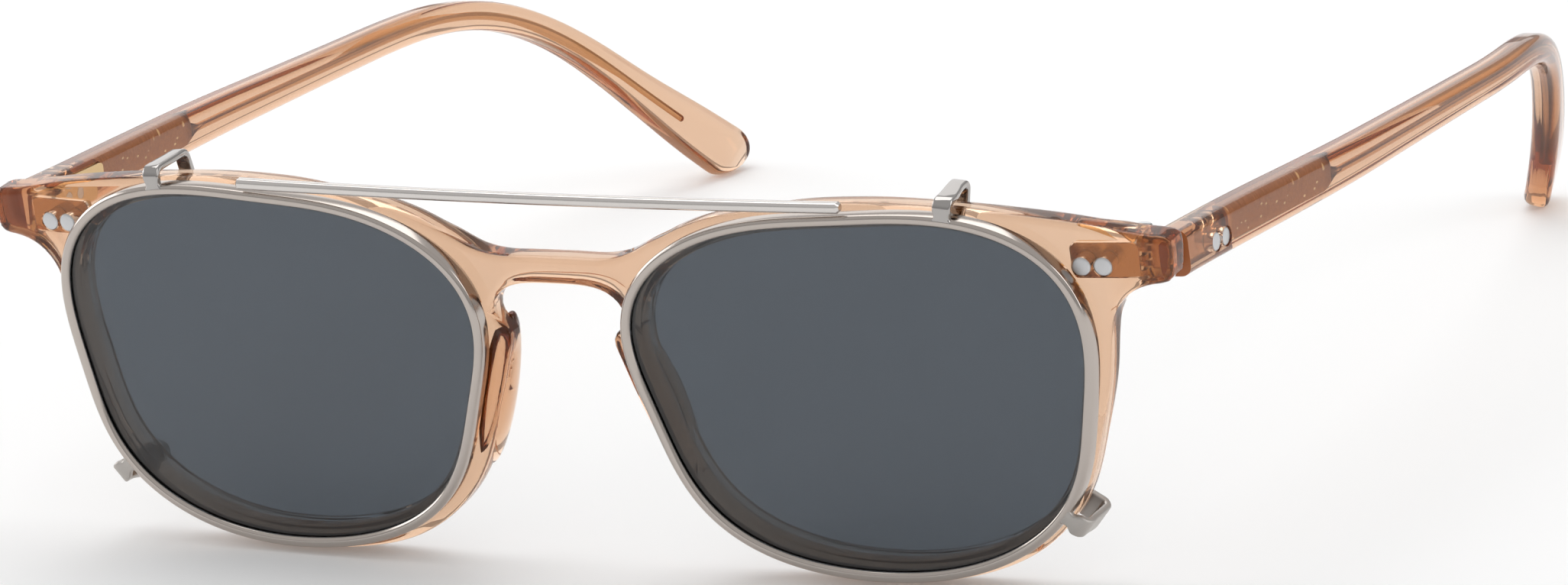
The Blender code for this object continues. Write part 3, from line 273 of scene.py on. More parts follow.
# The hinge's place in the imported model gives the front's lean and where it stands
HINGE = next(joint for joint in frame["joints"] if joint["name"] == "left_hinge")
LEAN = PANTOSCOPIC_ANGLE - asin(HINGE["axis"][1])
PIN_POINT = Vector((PIN_X, PIN_DEPTH + bend(PIN_X), HINGE_RISE))
FRONT_PLACE = (
    Matrix.Translation(HINGE["pos_m"]) @ Matrix.Rotation(LEAN, 4, "X")
    @ Matrix.Translation(-PIN_POINT)
)
TEMPLE_PLACE = (
    Matrix.Translation(HINGE["pos_m"]) @ Matrix.Rotation(LEAN - PANTOSCOPIC_ANGLE, 4, "X")
)
STAND = Matrix.Rotation(radians(90), 4, "X")

# Camera, in the front's axes, found by fitting the photograph
CAMERA_POINT = (0.456074, -0.775557, 0.332785)
CAMERA_TURN = (69.8658, 7.5875, 26.1835)
CAMERA_LENS = 212.74
SENSOR_WIDTH = 36.0
# Softboxes: name, size, place and the height above the middle of the table that they face
SOFTBOXES = (
    ("top", (1.3, 0.9), (-0.25, 0.35, 1.25), 0.0),
    ("left", (0.8, 0.6), (-1.25, 0.05, 0.40), 0.02),
    ("right", (0.4, 0.9), (1.25, 0.15, 0.55), 0.02),
    ("back", (1.4, 0.9), (-0.75, 1.35, 0.60), 0.02),
)
FLOOR_REACH = 4.0
FLOOR_DROP = 0.00003


# Outlines

def lens_shape(order=5, steps=720):
    """Lens outline as complex harmonics, and half the box that they fill."""
    points = np.array([complex(u, v) for u, v in LENS_OUTLINE_SHARES])
    count = len(points)
    terms = np.fft.fft(points) / count
    kept = {k: terms[k % count] for k in range(-order, order + 1)}
    turn = np.linspace(0, 2 * pi, steps, endpoint=False)
    loop = sum(value * np.exp(1j * k * turn) for k, value in kept.items())
    low = complex(loop.real.min(), loop.imag.min())
    high = complex(loop.real.max(), loop.imag.max())
    kept[0] = kept[0] - (low + high) / 2
    return kept, (high - low) / 2


LENS_TERMS, LENS_SPREAD = lens_shape()


def lens_point(angle, growth=0.0):
    """Point (x, z) of the left lens's outline at this angle, moved outward by growth."""
    value = sum(term * np.exp(1j * k * angle) for k, term in LENS_TERMS.items())
    slope = sum(1j * k * term * np.exp(1j * k * angle) for k, term in LENS_TERMS.items())
    across = HALF_WIDTH / LENS_SPREAD.real
    upward = HALF_HEIGHT / LENS_SPREAD.imag
    along = Vector((slope.real * across, slope.imag * upward)).normalized()
    x = EYE_X + value.real * across + growth * along.y
    z = value.imag * upward - growth * along.x
    return x, z


def lens_normal(angle):
    """Outward direction (x, z) of the left lens's outline at this angle."""
    return (Vector(lens_point(angle, RIM_WIDTH)) - Vector(lens_point(angle))).normalized()


def closed_spline(points, count):
    """Evenly spaced points along the smooth closed curve through these points."""
    knots = np.array(points)
    size = len(knots)
    gap = np.linalg.norm(np.roll(knots, -1, axis=0) - knots, axis=1)
    before = np.roll(gap, 1)
    chord = (np.roll(knots, -1, axis=0) - knots) / gap[:, None]
    matrix = np.zeros((size, size))
    for i in range(size):
        matrix[i, i] = 2 * (gap[i] + before[i])
        matrix[i, i - 1] = gap[i]
        matrix[i, (i + 1) % size] = before[i]
    right = 3 * (gap[:, None] * np.roll(chord, 1, axis=0) + before[:, None] * chord)
    slope = np.linalg.solve(matrix, right)
    fine = []
    for i in range(size):
        j = (i + 1) % size
        for t in np.linspace(0, 1, 24, endpoint=False):
            a = knots[i] * (1 + 2 * t) * (1 - t) ** 2 + knots[j] * t * t * (3 - 2 * t)
            b = slope[i] * t * (1 - t) ** 2 + slope[j] * t * t * (t - 1)
            fine.append(a + b * gap[i])
    fine = np.array(fine + [fine[0]])
    length = np.concatenate([[0], np.cumsum(np.linalg.norm(np.diff(fine, axis=0), axis=1))])
    place = np.linspace(0, length[-1], count, endpoint=False)
    return [(np.interp(s, length, fine[:, 0]), np.interp(s, length, fine[:, 1])) for s in place]


def smooth_value(table, share, step=0.015):
    """Value at this share of the way along a table, on a smooth line through its rows."""
    places, values = zip(*table)
    near = [share + i * step for i in range(-2, 3)]
    return float(np.mean(np.interp(near, places, values)))


def front_outline(count):
    """Outline (x, z) of the acetate front, both sides."""
    keyhole_top = KEYHOLE_TOP_SHARE * HALF_HEIGHT
    bridge_top = keyhole_top + BRIDGE_HEIGHT
    half = [(share * HALF_GAP, bridge_top) for share in (0.25, 0.6)]
    half += [(EYE_X + u * HALF_WIDTH, v * BROW_TOP) for u, v in BROW_SHARES]
    brow_end = BROW_END_SHARE * BROW_TOP
    half += [
        (LENS_END_X + u * ENDPIECE_LENGTH, brow_end - v * ENDPIECE_HEIGHT)
        for u, v in ENDPIECE_SHARES
    ]
    half += [lens_point(radians(angle), RIM_WIDTH * share) for angle, share in RIM_SHARES]
    half += [(u * HALF_GAP, v * HALF_HEIGHT) for u, v in NOSE_SHARES]
    other = [(-x, z) for x, z in reversed(half)]
    return closed_spline([(0.0, bridge_top)] + half + [(0.0, keyhole_top)] + other, count)


def rounded_loop(half_width, half_height, radius, corner_points):
    """Rectangle with round corners, centred on the origin."""
    radius = min(radius, half_width, half_height)
    loop = []
    for quarter in range(4):
        sign_x = 1 if quarter in (0, 3) else -1
        sign_y = 1 if quarter in (0, 1) else -1
        for i in range(corner_points):
            angle = (quarter + i / (corner_points - 1)) * pi / 2
            x = sign_x * (half_width - radius) + radius * cos(angle)
            y = sign_y * (half_height - radius) + radius * sin(angle)
            loop.append((x, y))
    return loop


# Mesh tools

def placed(name, data):
    """New object in the scene."""
    made = bpy.data.objects.new(name, data)
    bpy.context.scene.collection.objects.link(made)
    return made


def evaluated(made):
    """Mesh of an object with its modifiers applied. The object itself is removed."""
    graph = bpy.context.evaluated_depsgraph_get()
    mesh = bpy.data.meshes.new_from_object(made.evaluated_get(graph))
    bpy.data.objects.remove(made)
    return mesh


def opened(*meshes):
    """Bmesh with these meshes in it."""
    bm = bmesh.new()
    for mesh in meshes:
        bm.from_mesh(mesh)
    return bm


def written(bm, mesh):
    """Write a bmesh into a mesh and free it."""
    bm.to_mesh(mesh)
    bm.free()
    return mesh


def mesh_from(bm, name):
    """Turn a bmesh into a mesh with merged doubles and its faces pointing out."""
    bmesh.ops.remove_doubles(bm, verts=bm.verts, dist=MERGE)
    bmesh.ops.recalc_face_normals(bm, faces=bm.faces)
    return written(bm, bpy.data.meshes.new(name))


def split(bm, point, normal, **sides):
    """Cut a bmesh along a plane."""
    return bmesh.ops.bisect_plane(
        bm, geom=bm.verts[:] + bm.edges[:] + bm.faces[:], dist=MERGE, plane_co=point,
        plane_no=normal, **sides,
    )


def bridged(name, sections, ring=False):
    """Body bridged through loops of points, closed into a ring or with two ends."""
    bm = bmesh.new()
    loops = []
    for section in sections:
        verts = [bm.verts.new(point) for point in section]
        loops.append([bm.edges.new(pair) for pair in zip(verts, verts[1:] + verts[:1])])
    for near, far in zip(loops, loops[1:]):
        bmesh.ops.bridge_loops(bm, edges=near + far)
    if ring:
        bmesh.ops.bridge_loops(bm, edges=loops[-1] + loops[0])
    else:
        for edges in (loops[0], loops[-1]):
            bmesh.ops.edgeloop_fill(bm, edges=edges)
    return mesh_from(bm, name)


def lens_stack(name, levels):
    """Body bridged through outlines of the left lens at these depths and growths."""
    sections = []
    for depth, growth in levels:
        loop = [lens_point(2 * pi * i / LENS_POINTS, growth) for i in range(LENS_POINTS)]
        sections.append([(x, depth, z) for x, z in loop])
    return bridged(name, sections)


def half_slab(outline, rounding, segments, front):
    """Front or back half of a slab with rounded edges, upright, from a bevelled curve."""
    curve = bpy.data.curves.new("slab", "CURVE")
    curve.dimensions = "2D"
    curve.fill_mode = "BOTH"
    curve.extrude = FRONT_THICKNESS / 2 - rounding
    curve.bevel_depth = rounding
    curve.bevel_resolution = segments - 1
    curve.offset = -rounding
    line = curve.splines.new("POLY")
    line.points.add(len(outline) - 1)
    line.use_cyclic_u = True
    for point, (x, z) in zip(line.points, outline):
        point.co = (x, z, 0.0, 1.0)
    mesh = evaluated(placed("slab", curve))
    mesh.transform(Matrix.Translation((0, FRONT_THICKNESS / 2, 0)) @ STAND)
    bm = opened(mesh)
    bmesh.ops.remove_doubles(bm, verts=bm.verts, dist=MERGE)
    bmesh.ops.dissolve_limit(bm, angle_limit=FLAT_ANGLE, verts=bm.verts, edges=bm.edges)
    split(bm, (0, FRONT_THICKNESS / 2, 0), (0, 1 if front else -1, 0), clear_outer=True)
    return written(bm, mesh)


def joined(name, meshes):
    """Several meshes in one, with their shared points merged."""
    return mesh_from(opened(*meshes), name)


def mirrored(mesh):
    """Mirror image of a mesh across X = 0."""
    bm = opened(mesh)
    bmesh.ops.transform(bm, matrix=Matrix.Diagonal((-1, 1, 1, 1)), verts=bm.verts)
    return mesh_from(bm, mesh.name)


def combined(body, operation, *tools):
    """Boolean of a mesh with each of the tools in turn."""
    for tool in tools:
        target, cutter = placed("body", body), placed("tool", tool)
        modifier = target.modifiers.new("Boolean", "BOOLEAN")
        modifier.operation = operation
        modifier.solver = "EXACT"
        modifier.object = cutter
        body = evaluated(target)
        bpy.data.objects.remove(cutter)
    return body


def triangulated(mesh):
    """The mesh in triangles, which are flat and so cut cleanly."""
    bm = opened(mesh)
    bmesh.ops.dissolve_degenerate(bm, edges=bm.edges[:], dist=SLIVER)
    bmesh.ops.triangulate(bm, faces=bm.faces[:])
    return mesh_from(bm, mesh.name)


def sliced(bm, places):
    """Cut a bmesh across X at these places."""
    for x in places:
        split(bm, (x, 0, 0), (1, 0, 0))


def bent(mesh):
    """Bend a flat mesh to the front's curve, sliced so that long faces follow."""
    bm = opened(mesh)
    reach = [vert.co.x for vert in bm.verts]
    sliced(bm, np.arange(min(reach) + BEND_STEP, max(reach), BEND_STEP))
    for vert in bm.verts:
        vert.co.y += bend(vert.co.x)
    return written(bm, mesh)


def turned(name, profile, steps=48):
    """Turned body from a profile of (radius, height) points that starts and ends on the axis."""
    bm = bmesh.new()
    verts = [bm.verts.new((radius, 0.0, height)) for radius, height in profile]
    edges = [bm.edges.new(pair) for pair in zip(verts, verts[1:])]
    bmesh.ops.spin(
        bm, geom=verts + edges, cent=(0, 0, 0), axis=(0, 0, 1), angle=2 * pi, steps=steps,
        use_merge=True, use_duplicate=False,
    )
    return mesh_from(bm, name)


def leaf_pocket(length, depth, place):
    """Cutter for a hinge leaf: length along X, depth along Y, with round corners."""
    bm = bmesh.new()
    size = Matrix.Diagonal((length, depth, LEAF_HEIGHT + 2 * LEAF_PLAY, 1))
    bmesh.ops.create_cube(bm, size=1.0, matrix=size)
    corners = [
        edge for edge in bm.edges if abs(edge.verts[0].co.y - edge.verts[1].co.y) > depth / 2
    ]
    bmesh.ops.bevel(
        bm, geom=corners, offset=LEAF_ROUNDING, offset_type="OFFSET", segments=6, profile=0.5,
        affect="EDGES", material=-1,
    )
    bmesh.ops.transform(bm, matrix=place, verts=bm.verts)
    return mesh_from(bm, "pocket")


def piece(name, mesh, material, body, slot, *nodes):
    """Named piece that rides on a body and stands for its CAD nodes."""
    mesh.materials.clear()
    mesh.materials.append(material)
    mesh.shade_smooth()
    mesh.set_sharp_from_angle(angle=SHARP_ANGLE)
    made = placed(name, mesh)
    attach(made, body)
    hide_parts(*nodes)
    return made


def weighted(made):
    """Flat faces keep flat shading beside their rounded edges."""
    modifier = made.modifiers.new("Normals", "WEIGHTED_NORMAL")
    modifier.keep_sharp = True
    modifier.weight = 80


def second_material(made, material, chosen):
    """Give a piece's chosen faces another material."""
    made.data.materials.append(material)
    for face in made.data.polygons:
        face.material_index = int(chosen(face))


def pair(name, mesh, place, material, slot, on_temple=False):
    """Left piece and its mirror image on the right, for the two CAD nodes of that name."""
    mesh.transform(place)
    made = []
    for side, copy in (("left", mesh), ("right", mirrored(mesh))):
        body = "temple_" + side if on_temple else "front"
        node_name = "%s_%s" % (name, side)
        made.append(piece("fine_" + node_name, copy, material, body, slot, node_name))
    return made


# Materials

def linear(code):
    """Linear colour of a six-figure sRGB hex code."""
    parts = [int(code[i:i + 2], 16) / 255 for i in (0, 2, 4)]
    return [p / 12.92 if p <= 0.04045 else ((p + 0.055) / 1.055) ** 2.4 for p in parts]


def node(tree, kind, entries=()):
    """Add one shader node, its kind named without the leading ShaderNode. An entry is a
    setting, a socket's value, or what is linked to it: a socket, or a node for its first
    output."""
    made = tree.nodes.new("ShaderNode" + kind)
    for key, value in dict(entries).items():
        if isinstance(value, bpy.types.Node):
            value = value.outputs[0]
        if isinstance(value, bpy.types.NodeSocket):
            tree.links.new(value, made.inputs[key])
        elif isinstance(key, int) or key in made.inputs:
            made.inputs[key].default_value = value
        else:
            setattr(made, key, value)
    return made


def new_material(name):
    """Empty material and its node tree."""
    material = bpy.data.materials.new(name)
    material.use_nodes = True
    material.node_tree.nodes.clear()
    return material, material.node_tree


def rgba(colour):
    """Colour property as four numbers."""
    return (*colour[:3], 1.0)


def noise(tree, scale, detail=2.0, roughness=0.5):
    """Noise in the object's own axes, with its scale per metre."""
    place = node(tree, "TexCoord")
    return node(tree, "TexNoise", {
        "Scale": scale, "Detail": detail, "Roughness": roughness,
        "Vector": place.outputs["Object"],
    })


def bump(tree, height, strength, distance):
    """Normals tilted by a height."""
    return node(tree, "Bump", {"Strength": strength, "Distance": distance, "Height": height})


def polished_acetate(colours):
    """Cellulose acetate sheet, cut and tumble-polished: clear peach that deepens with thickness,
    with a faint waviness left by the tumbling."""
    material, tree = new_material("polished_peach_acetate")
    wave = noise(tree, ACETATE_WAVES)
    low, high = ACETATE_ROUGHNESS
    gloss = {
        "IOR": ACETATE_IOR,
        "Roughness": node(tree, "MapRange", {"To Min": low, "To Max": high, "Value": wave}),
        "Normal": bump(tree, wave, 0.25, ACETATE_WAVE_HEIGHT),
    }
    clear = node(tree, "BsdfPrincipled",
                 {"Base Color": rgba(colours.acetate), "Transmission Weight": 1.0, **gloss})
    body = node(tree, "BsdfPrincipled", {"Base Color": rgba(colours.acetate_body), **gloss})
    both = node(tree, "MixShader", {"Fac": colours.acetate_haze, 1: clear, 2: body})
    depth = node(tree, "VolumeAbsorption",
                 {"Color": rgba(colours.acetate_depth), "Density": colours.acetate_density})
    node(tree, "OutputMaterial", {"Surface": both, "Volume": depth})
    return material


def sanded_acetate(colours):
    """The temple's butt, sawn and sanded: its fine scratches hide the depth of the sheet."""
    material, tree = new_material("sanded_acetate_butt")
    shader = node(tree, "BsdfPrincipled", {
        "Base Color": rgba(colours.sanded), "Roughness": 0.5,
        "Normal": bump(tree, noise(tree, SAND_GRAIN), 0.3, 0.00002),
    })
    node(tree, "OutputMaterial", {"Surface": shader})
    return material


def lens_plastic(name, colour):
    """Cast lens resin, polished: colourless or dyed through, with a hard clean gloss."""
    material, tree = new_material(name)
    shader = node(tree, "BsdfPrincipled", {
        "Base Color": rgba(colour), "Transmission Weight": 1.0, "IOR": LENS_IOR,
        "Roughness": 0.0,
    })
    node(tree, "OutputMaterial", {"Surface": shader})
    return material


def metal(name):
    """Metal with a fine grain: the grain breaks up highlights and gives them a soft edge.
    The grain is drawn about three times as coarse as the real one so that it shows."""
    colour, rough, smooth, scale, depth = METALS[name]
    material, tree = new_material(name)
    grain = noise(tree, scale, 3.0, 0.6)
    shader = node(tree, "BsdfPrincipled", {
        "Base Color": rgba(getattr(bpy.context.scene.eyewear_colours, colour)),
        "Metallic": 1.0,
        "Roughness": node(tree, "MapRange", {"To Min": smooth, "To Max": rough, "Value": grain}),
        "Normal": bump(tree, grain, 0.4, depth),
    })
    node(tree, "OutputMaterial", {"Surface": shader})
    return material


def stippled_bronze(colours):
    """Stamped bronze core: brown grained plate pressed with dots, with a painted gold glint.
    The dots lie in the plate's own plane, so each one goes straight through it. They are drawn
    larger than the real ones and long in the temple's direction, so that they show."""
    material, tree = new_material("stippled_bronze_core")
    place = node(tree, "TexCoord")
    flat = node(tree, "Mapping",
                {"Scale": (0.0, DOT_STRETCH, 1.0), "Vector": place.outputs["Object"]})
    cells = node(tree, "TexVoronoi", {"Scale": DOT_CELLS, "Randomness": 0.7, "Vector": flat})
    dots = node(tree, "MapRange", {
        "From Min": DOT_EDGE[0], "From Max": DOT_EDGE[1], "To Min": 1.0, "To Max": 0.0,
        "Value": cells,
    })
    grain = noise(tree, CORE_GRAIN, 2.0, 0.7)
    plate = node(tree, "Mix", {
        "data_type": "RGBA", "Factor": grain, 6: rgba(colours.bronze_shade),
        7: rgba(colours.bronze),
    })
    # Painted glint: the dots are painted pale gold in place of the light that they catch.
    tone = node(tree, "Mix", {
        "data_type": "RGBA", "Factor": dots, 6: plate.outputs[2], 7: rgba(colours.painted_bronze_glint),
    })
    shader = node(tree, "BsdfPrincipled", {
        "Metallic": 1.0, "Roughness": 0.42, "Base Color": tone.outputs[2],
        "Normal": bump(tree, grain, 0.5, 0.00005),
    })
    node(tree, "OutputMaterial", {"Surface": shader})
    return material


# Front

def nose_pad():
    """Left nose pad: a long drop of acetate that leans with the side of the nose."""
    bm = bmesh.new()
    bmesh.ops.create_uvsphere(bm, u_segments=48, v_segments=32, radius=1.0)
    seat = FRONT_THICKNESS * PAD_SEAT_SHARE
    half_depth = FRONT_THICKNESS - seat + PAD_DEPTH
    size = Matrix.Diagonal((PAD_WIDTH / 2, half_depth, PAD_LENGTH / 2, 1))
    turn = Matrix.Rotation(-PAD_TILT, 4, "Y") @ Matrix.Rotation(-PAD_SPLAY, 4, "Z")
    place = Matrix.Translation((HALF_GAP - PAD_INSET, seat, -PAD_DROP))
    bmesh.ops.transform(bm, matrix=place @ turn @ size, verts=bm.verts)
    return mesh_from(bm, "nose_pad")


def opening_cutter(rounding):
    """Cutter for the left opening: rounded edges, the lens groove and room behind it."""
    groove_front = LENS_SETBACK - FIT / 2
    groove_back = LENS_SETBACK + LENS_THICKNESS + FIT / 2
    groove_middle = (groove_front + groove_back) / 2
    levels = [(-CUT_PAST, rounding + CUT_PAST)]
    levels += [
        (rounding * (1 - cos(radians(turn))), rounding * (1 - sin(radians(turn))))
        for turn in (30, 60, 90)
    ]
    levels += [
        (groove_front, 0.0), (groove_middle - GROOVE_HALF_FLAT, GROOVE_DEPTH),
        (groove_middle + GROOVE_HALF_FLAT, GROOVE_DEPTH), (groove_back, 0.0),
        (FRONT_THICKNESS - rounding, 0.0),
        (FRONT_THICKNESS - rounding * 0.3, rounding * 0.3),
        (FRONT_THICKNESS + FIT, rounding + FIT),
        (FRONT_THICKNESS + PAD_DEPTH + CUT_PAST, rounding + FIT),
    ]
    return lens_stack("opening", levels)


def thickened(mesh):
    """Build up the back of both endpieces, with a short ramp."""
    bm = opened(mesh)
    start = LENS_END_X + ENDPIECE_RAMP
    ramp = [start + ENDPIECE_RAMP_LENGTH * i / 6 for i in range(7)]
    sliced(bm, [-x for x in ramp] + ramp)
    for vert in bm.verts:
        if vert.co.y > FRONT_THICKNESS / 2:
            share = clamped((abs(vert.co.x) - start) / ENDPIECE_RAMP_LENGTH)
            vert.co.y += ENDPIECE_EXTRA * eased(share)
    return written(bm, mesh)


def hinge_place():
    """Matrix from a front hinge's own axes to the front, square to the bend."""
    turn = Matrix.Rotation(atan2(PIN_X, BEND_RADIUS), 4, "Z")
    return Matrix.Translation((PIN_X, bend(PIN_X), HINGE_RISE)) @ turn


def leaf_rise():
    """Height of the front leaf's middle, where the tilted knuckle arms meet it."""
    return (PIN_DEPTH - END_THICKNESS + LEAF_THICKNESS / 2) * sin(PANTOSCOPIC_ANGLE)


def front_rivet_axes():
    """Matrices that aim +Z into the front at each rivet."""
    far = FRONT_LEAF_LENGTH - FRONT_RIVET_INSET
    aim = Matrix.Rotation(-pi / 2, 4, "X")
    return [
        hinge_place() @ Matrix.Translation((KNUCKLE_RADIUS - x, 0, leaf_rise())) @ aim
        for x in (far, far - RIVET_SPACING)
    ]


def temple_rivet_axes():
    """Matrices that aim +Z into the temple from its outer face at each rivet."""
    aim = Matrix.Rotation(-pi / 2, 4, "Y")
    outer = LEAF_FACE + TEMPLE_THICKNESS
    return [
        Matrix.Translation((outer, y, -TEMPLE_RIVET_DROP)) @ aim
        for y in (TEMPLE_RIVET_START, TEMPLE_RIVET_START + RIVET_SPACING)
    ]


def rivet_holes(axes, depth):
    """Cutters for rivets, along +Z of each axis from its outer face."""
    radius = RIVET_RADIUS + HOLE_PLAY
    meshes = []
    for axis in axes:
        bm = bmesh.new()
        bmesh.ops.create_cone(
            bm, cap_ends=True, segments=48, radius1=radius, radius2=radius,
            depth=depth + CUT_PAST,
            matrix=axis @ Matrix.Translation((0, 0, (depth - CUT_PAST) / 2)),
        )
        meshes.append(mesh_from(bm, "hole"))
    return joined("holes", meshes)


def front_pocket():
    """Cutter for the leaf let into the front's back."""
    depth = LEAF_THICKNESS + CUT_PAST
    x = KNUCKLE_RADIUS - FRONT_LEAF_LENGTH / 2
    y = END_THICKNESS - LEAF_THICKNESS - LEAF_PLAY / 3 + depth / 2
    place = hinge_place() @ Matrix.Translation((x, y, leaf_rise()))
    return leaf_pocket(FRONT_LEAF_LENGTH + 2 * LEAF_PLAY, depth, place)


class EYEWEAR_OT_front(bpy.types.Operator):
    """Acetate front with its keyhole bridge, grooved openings, pads and endpieces"""
    bl_idname = "eyewear.front"
    bl_label = "Acetate Front"

    def execute(self, context):
        """Make the front."""
        sizes = context.scene.eyewear_front
        outline = front_outline(sizes.outline_points)
        body = joined("front", [
            half_slab(outline, sizes.front_rounding, 6, True),
            half_slab(outline, sizes.back_rounding, 8, False),
        ])
        pad = nose_pad()
        opening = opening_cutter(sizes.opening_rounding)
        body = combined(body, "UNION", pad, mirrored(pad))
        body = combined(body, "DIFFERENCE", opening, mirrored(opening))
        body = triangulated(bent(thickened(body)))
        pocket = front_pocket()
        holes = rivet_holes(front_rivet_axes(), END_THICKNESS - LEAF_THICKNESS)
        body = combined(body, "DIFFERENCE", pocket, mirrored(pocket), holes, mirrored(holes))
        body.transform(FRONT_PLACE)
        material = polished_acetate(context.scene.eyewear_colours)
        weighted(piece("acetate_front", body, material, "front", "peach_acetate", "front_frame"))
        return {"FINISHED"}


# Lenses

class EYEWEAR_OT_lenses(bpy.types.Operator):
    """Clear lenses in the front's groove and tinted lenses in the clip"""
    bl_idname = "eyewear.lenses"
    bl_label = "Lenses"

    def execute(self, context):
        """Make both pairs of lenses."""
        colours = context.scene.eyewear_colours
        middle = LENS_SETBACK + LENS_THICKNESS / 2
        clear = bent(lens_stack("demo_lens", [
            (LENS_SETBACK, 0.0), (middle - LENS_HALF_FLAT, LENS_BEVEL_DEPTH),
            (middle + LENS_HALF_FLAT, LENS_BEVEL_DEPTH), (LENS_SETBACK + LENS_THICKNESS, 0.0),
        ]))
        glass = lens_plastic("clear_lens_resin", colours.clear_lens)
        pair("demo_lens", clear, FRONT_PLACE, glass, "clear_lens")
        front = CLIP_FRONT + (CLIP_RIM_DEPTH - CLIP_LENS_THICKNESS) / 2
        back = front + CLIP_LENS_THICKNESS
        growth = CLIP_OVERLAP + CLIP_LENS_GROWTH
        grey = bent(lens_stack("clip_lens", [
            (front, growth - CLIP_LENS_EDGE), (front + CLIP_LENS_EDGE, growth),
            (back - CLIP_LENS_EDGE, growth), (back, growth - CLIP_LENS_EDGE),
        ]))
        tint = lens_plastic("grey_lens_resin", colours.grey_lens)
        pair("clip_lens", grey, FRONT_PLACE, tint, "grey_lens")
        return {"FINISHED"}


# Temples

def temple_line(s):
    """Middle line (y, z) at this distance from the pin: straight, then eased round the ear."""
    past = s - TEMPLE_STRAIGHT
    if past <= 0:
        return s, 0.0
    along = min(past, EAR_BEND_LENGTH)
    share = np.linspace(0, along / EAR_BEND_LENGTH, EAR_BEND_STEPS)
    turn = EAR_BEND_ANGLE * eased(share)
    y = TEMPLE_STRAIGHT + along * float(np.mean(np.cos(turn)[1:] + np.cos(turn)[:-1]) / 2)
    z = -along * float(np.mean(np.sin(turn)[1:] + np.sin(turn)[:-1]) / 2)
    rest = past - along
    return y + rest * cos(turn[-1]), z - rest * sin(turn[-1])


TEMPLE_REACH = temple_line(TEMPLE_LENGTH)[0]


def temple_point(s):
    """Middle of the temple at this distance from the pin, in the temple's own axes."""
    y, z = temple_line(s)
    inset = max(0.0, (y - TIP_INSET_START) / (TEMPLE_REACH - TIP_INSET_START))
    x = LEAF_FACE + TEMPLE_THICKNESS / 2
    x += TEMPLE_BOW * eased(clamped(s / TEMPLE_BOW_LENGTH)) - TIP_INSET * inset * inset
    return Vector((x, y, z))


def temple_section(s, half_thickness, half_height, radius, corner_points=3):
    """Cross-section loop at this distance from the pin, slanted towards the tip."""
    middle = temple_point(s)
    ahead = (temple_point(s + 0.0001) - temple_point(s - 0.0001)).normalized()
    up = Vector((0, -ahead.z, ahead.y)).normalized()
    side = ahead.cross(up).normalized()
    past = max(0.0, s - TEMPLE_LENGTH + TIP_SLANT_LENGTH) / TIP_SLANT_LENGTH
    lean = up + up.cross(side).normalized() * TIP_SLANT * past * past
    loop = rounded_loop(half_thickness, half_height, radius, corner_points)
    return [tuple(middle + side * u + lean * v) for u, v in loop]


def temple_half_sizes(s, sizes):
    """Half the thickness and half the height at this distance from the pin."""
    share = clamped(s / TEMPLE_LENGTH)
    height = sizes.height * smooth_value(TEMPLE_HEIGHT_SHARES, share)
    thickness = TEMPLE_THICKNESS + (sizes.tip_thickness - TEMPLE_THICKNESS) * share ** 2
    return thickness / 2, height / 2


def temple_mesh(sizes):
    """Temple bridged through its cross-sections, cut square to the endpiece it butts on."""
    sections = []
    for s in np.linspace(-PIN_DEPTH, TEMPLE_LENGTH - TIP_ROUND, TEMPLE_SECTIONS):
        sections.append(temple_section(
            s, *temple_half_sizes(s, sizes), sizes.rounding, TEMPLE_CORNER_POINTS))
    half_thickness, half_height = temple_half_sizes(TEMPLE_LENGTH, sizes)
    for turn in range(8, 89, 8):
        s = TEMPLE_LENGTH - TIP_ROUND + TIP_ROUND * sin(radians(turn))
        shrink = cos(radians(turn))
        wide = half_thickness * (TIP_BLUNTNESS + (1 - TIP_BLUNTNESS) * shrink)
        sections.append(temple_section(
            s, wide, half_height * shrink, sizes.rounding * shrink, TEMPLE_CORNER_POINTS))
    body = bridged("temple", sections)
    to_temple = TEMPLE_PLACE.inverted() @ FRONT_PLACE
    point = to_temple @ Vector((TEMPLE_X, END_THICKNESS + FIT / 3 + bend(TEMPLE_X), HINGE_RISE))
    slope = atan2(TEMPLE_X, BEND_RADIUS)
    across = to_temple.to_3x3() @ Vector((-sin(slope), cos(slope), 0))
    bm = opened(body)
    result = split(bm, point, across, clear_inner=True)
    rim = [item for item in result["geom_cut"] if isinstance(item, bmesh.types.BMEdge)]
    bmesh.ops.contextual_create(bm, geom=rim)
    return mesh_from(bm, "temple")


def temple_pocket():
    """Cutter for the leaf let into the temple's inner face."""
    length = TEMPLE_LEAF_LENGTH + PIN_DEPTH + LEAF_PLAY
    depth = LEAF_THICKNESS + CUT_PAST
    x = LEAF_FACE + LEAF_THICKNESS + LEAF_PLAY / 3 - depth / 2
    place = Matrix.Translation((x, length / 2 - PIN_DEPTH, 0)) @ Matrix.Rotation(pi / 2, 4, "Z")
    return leaf_pocket(length, depth, place)


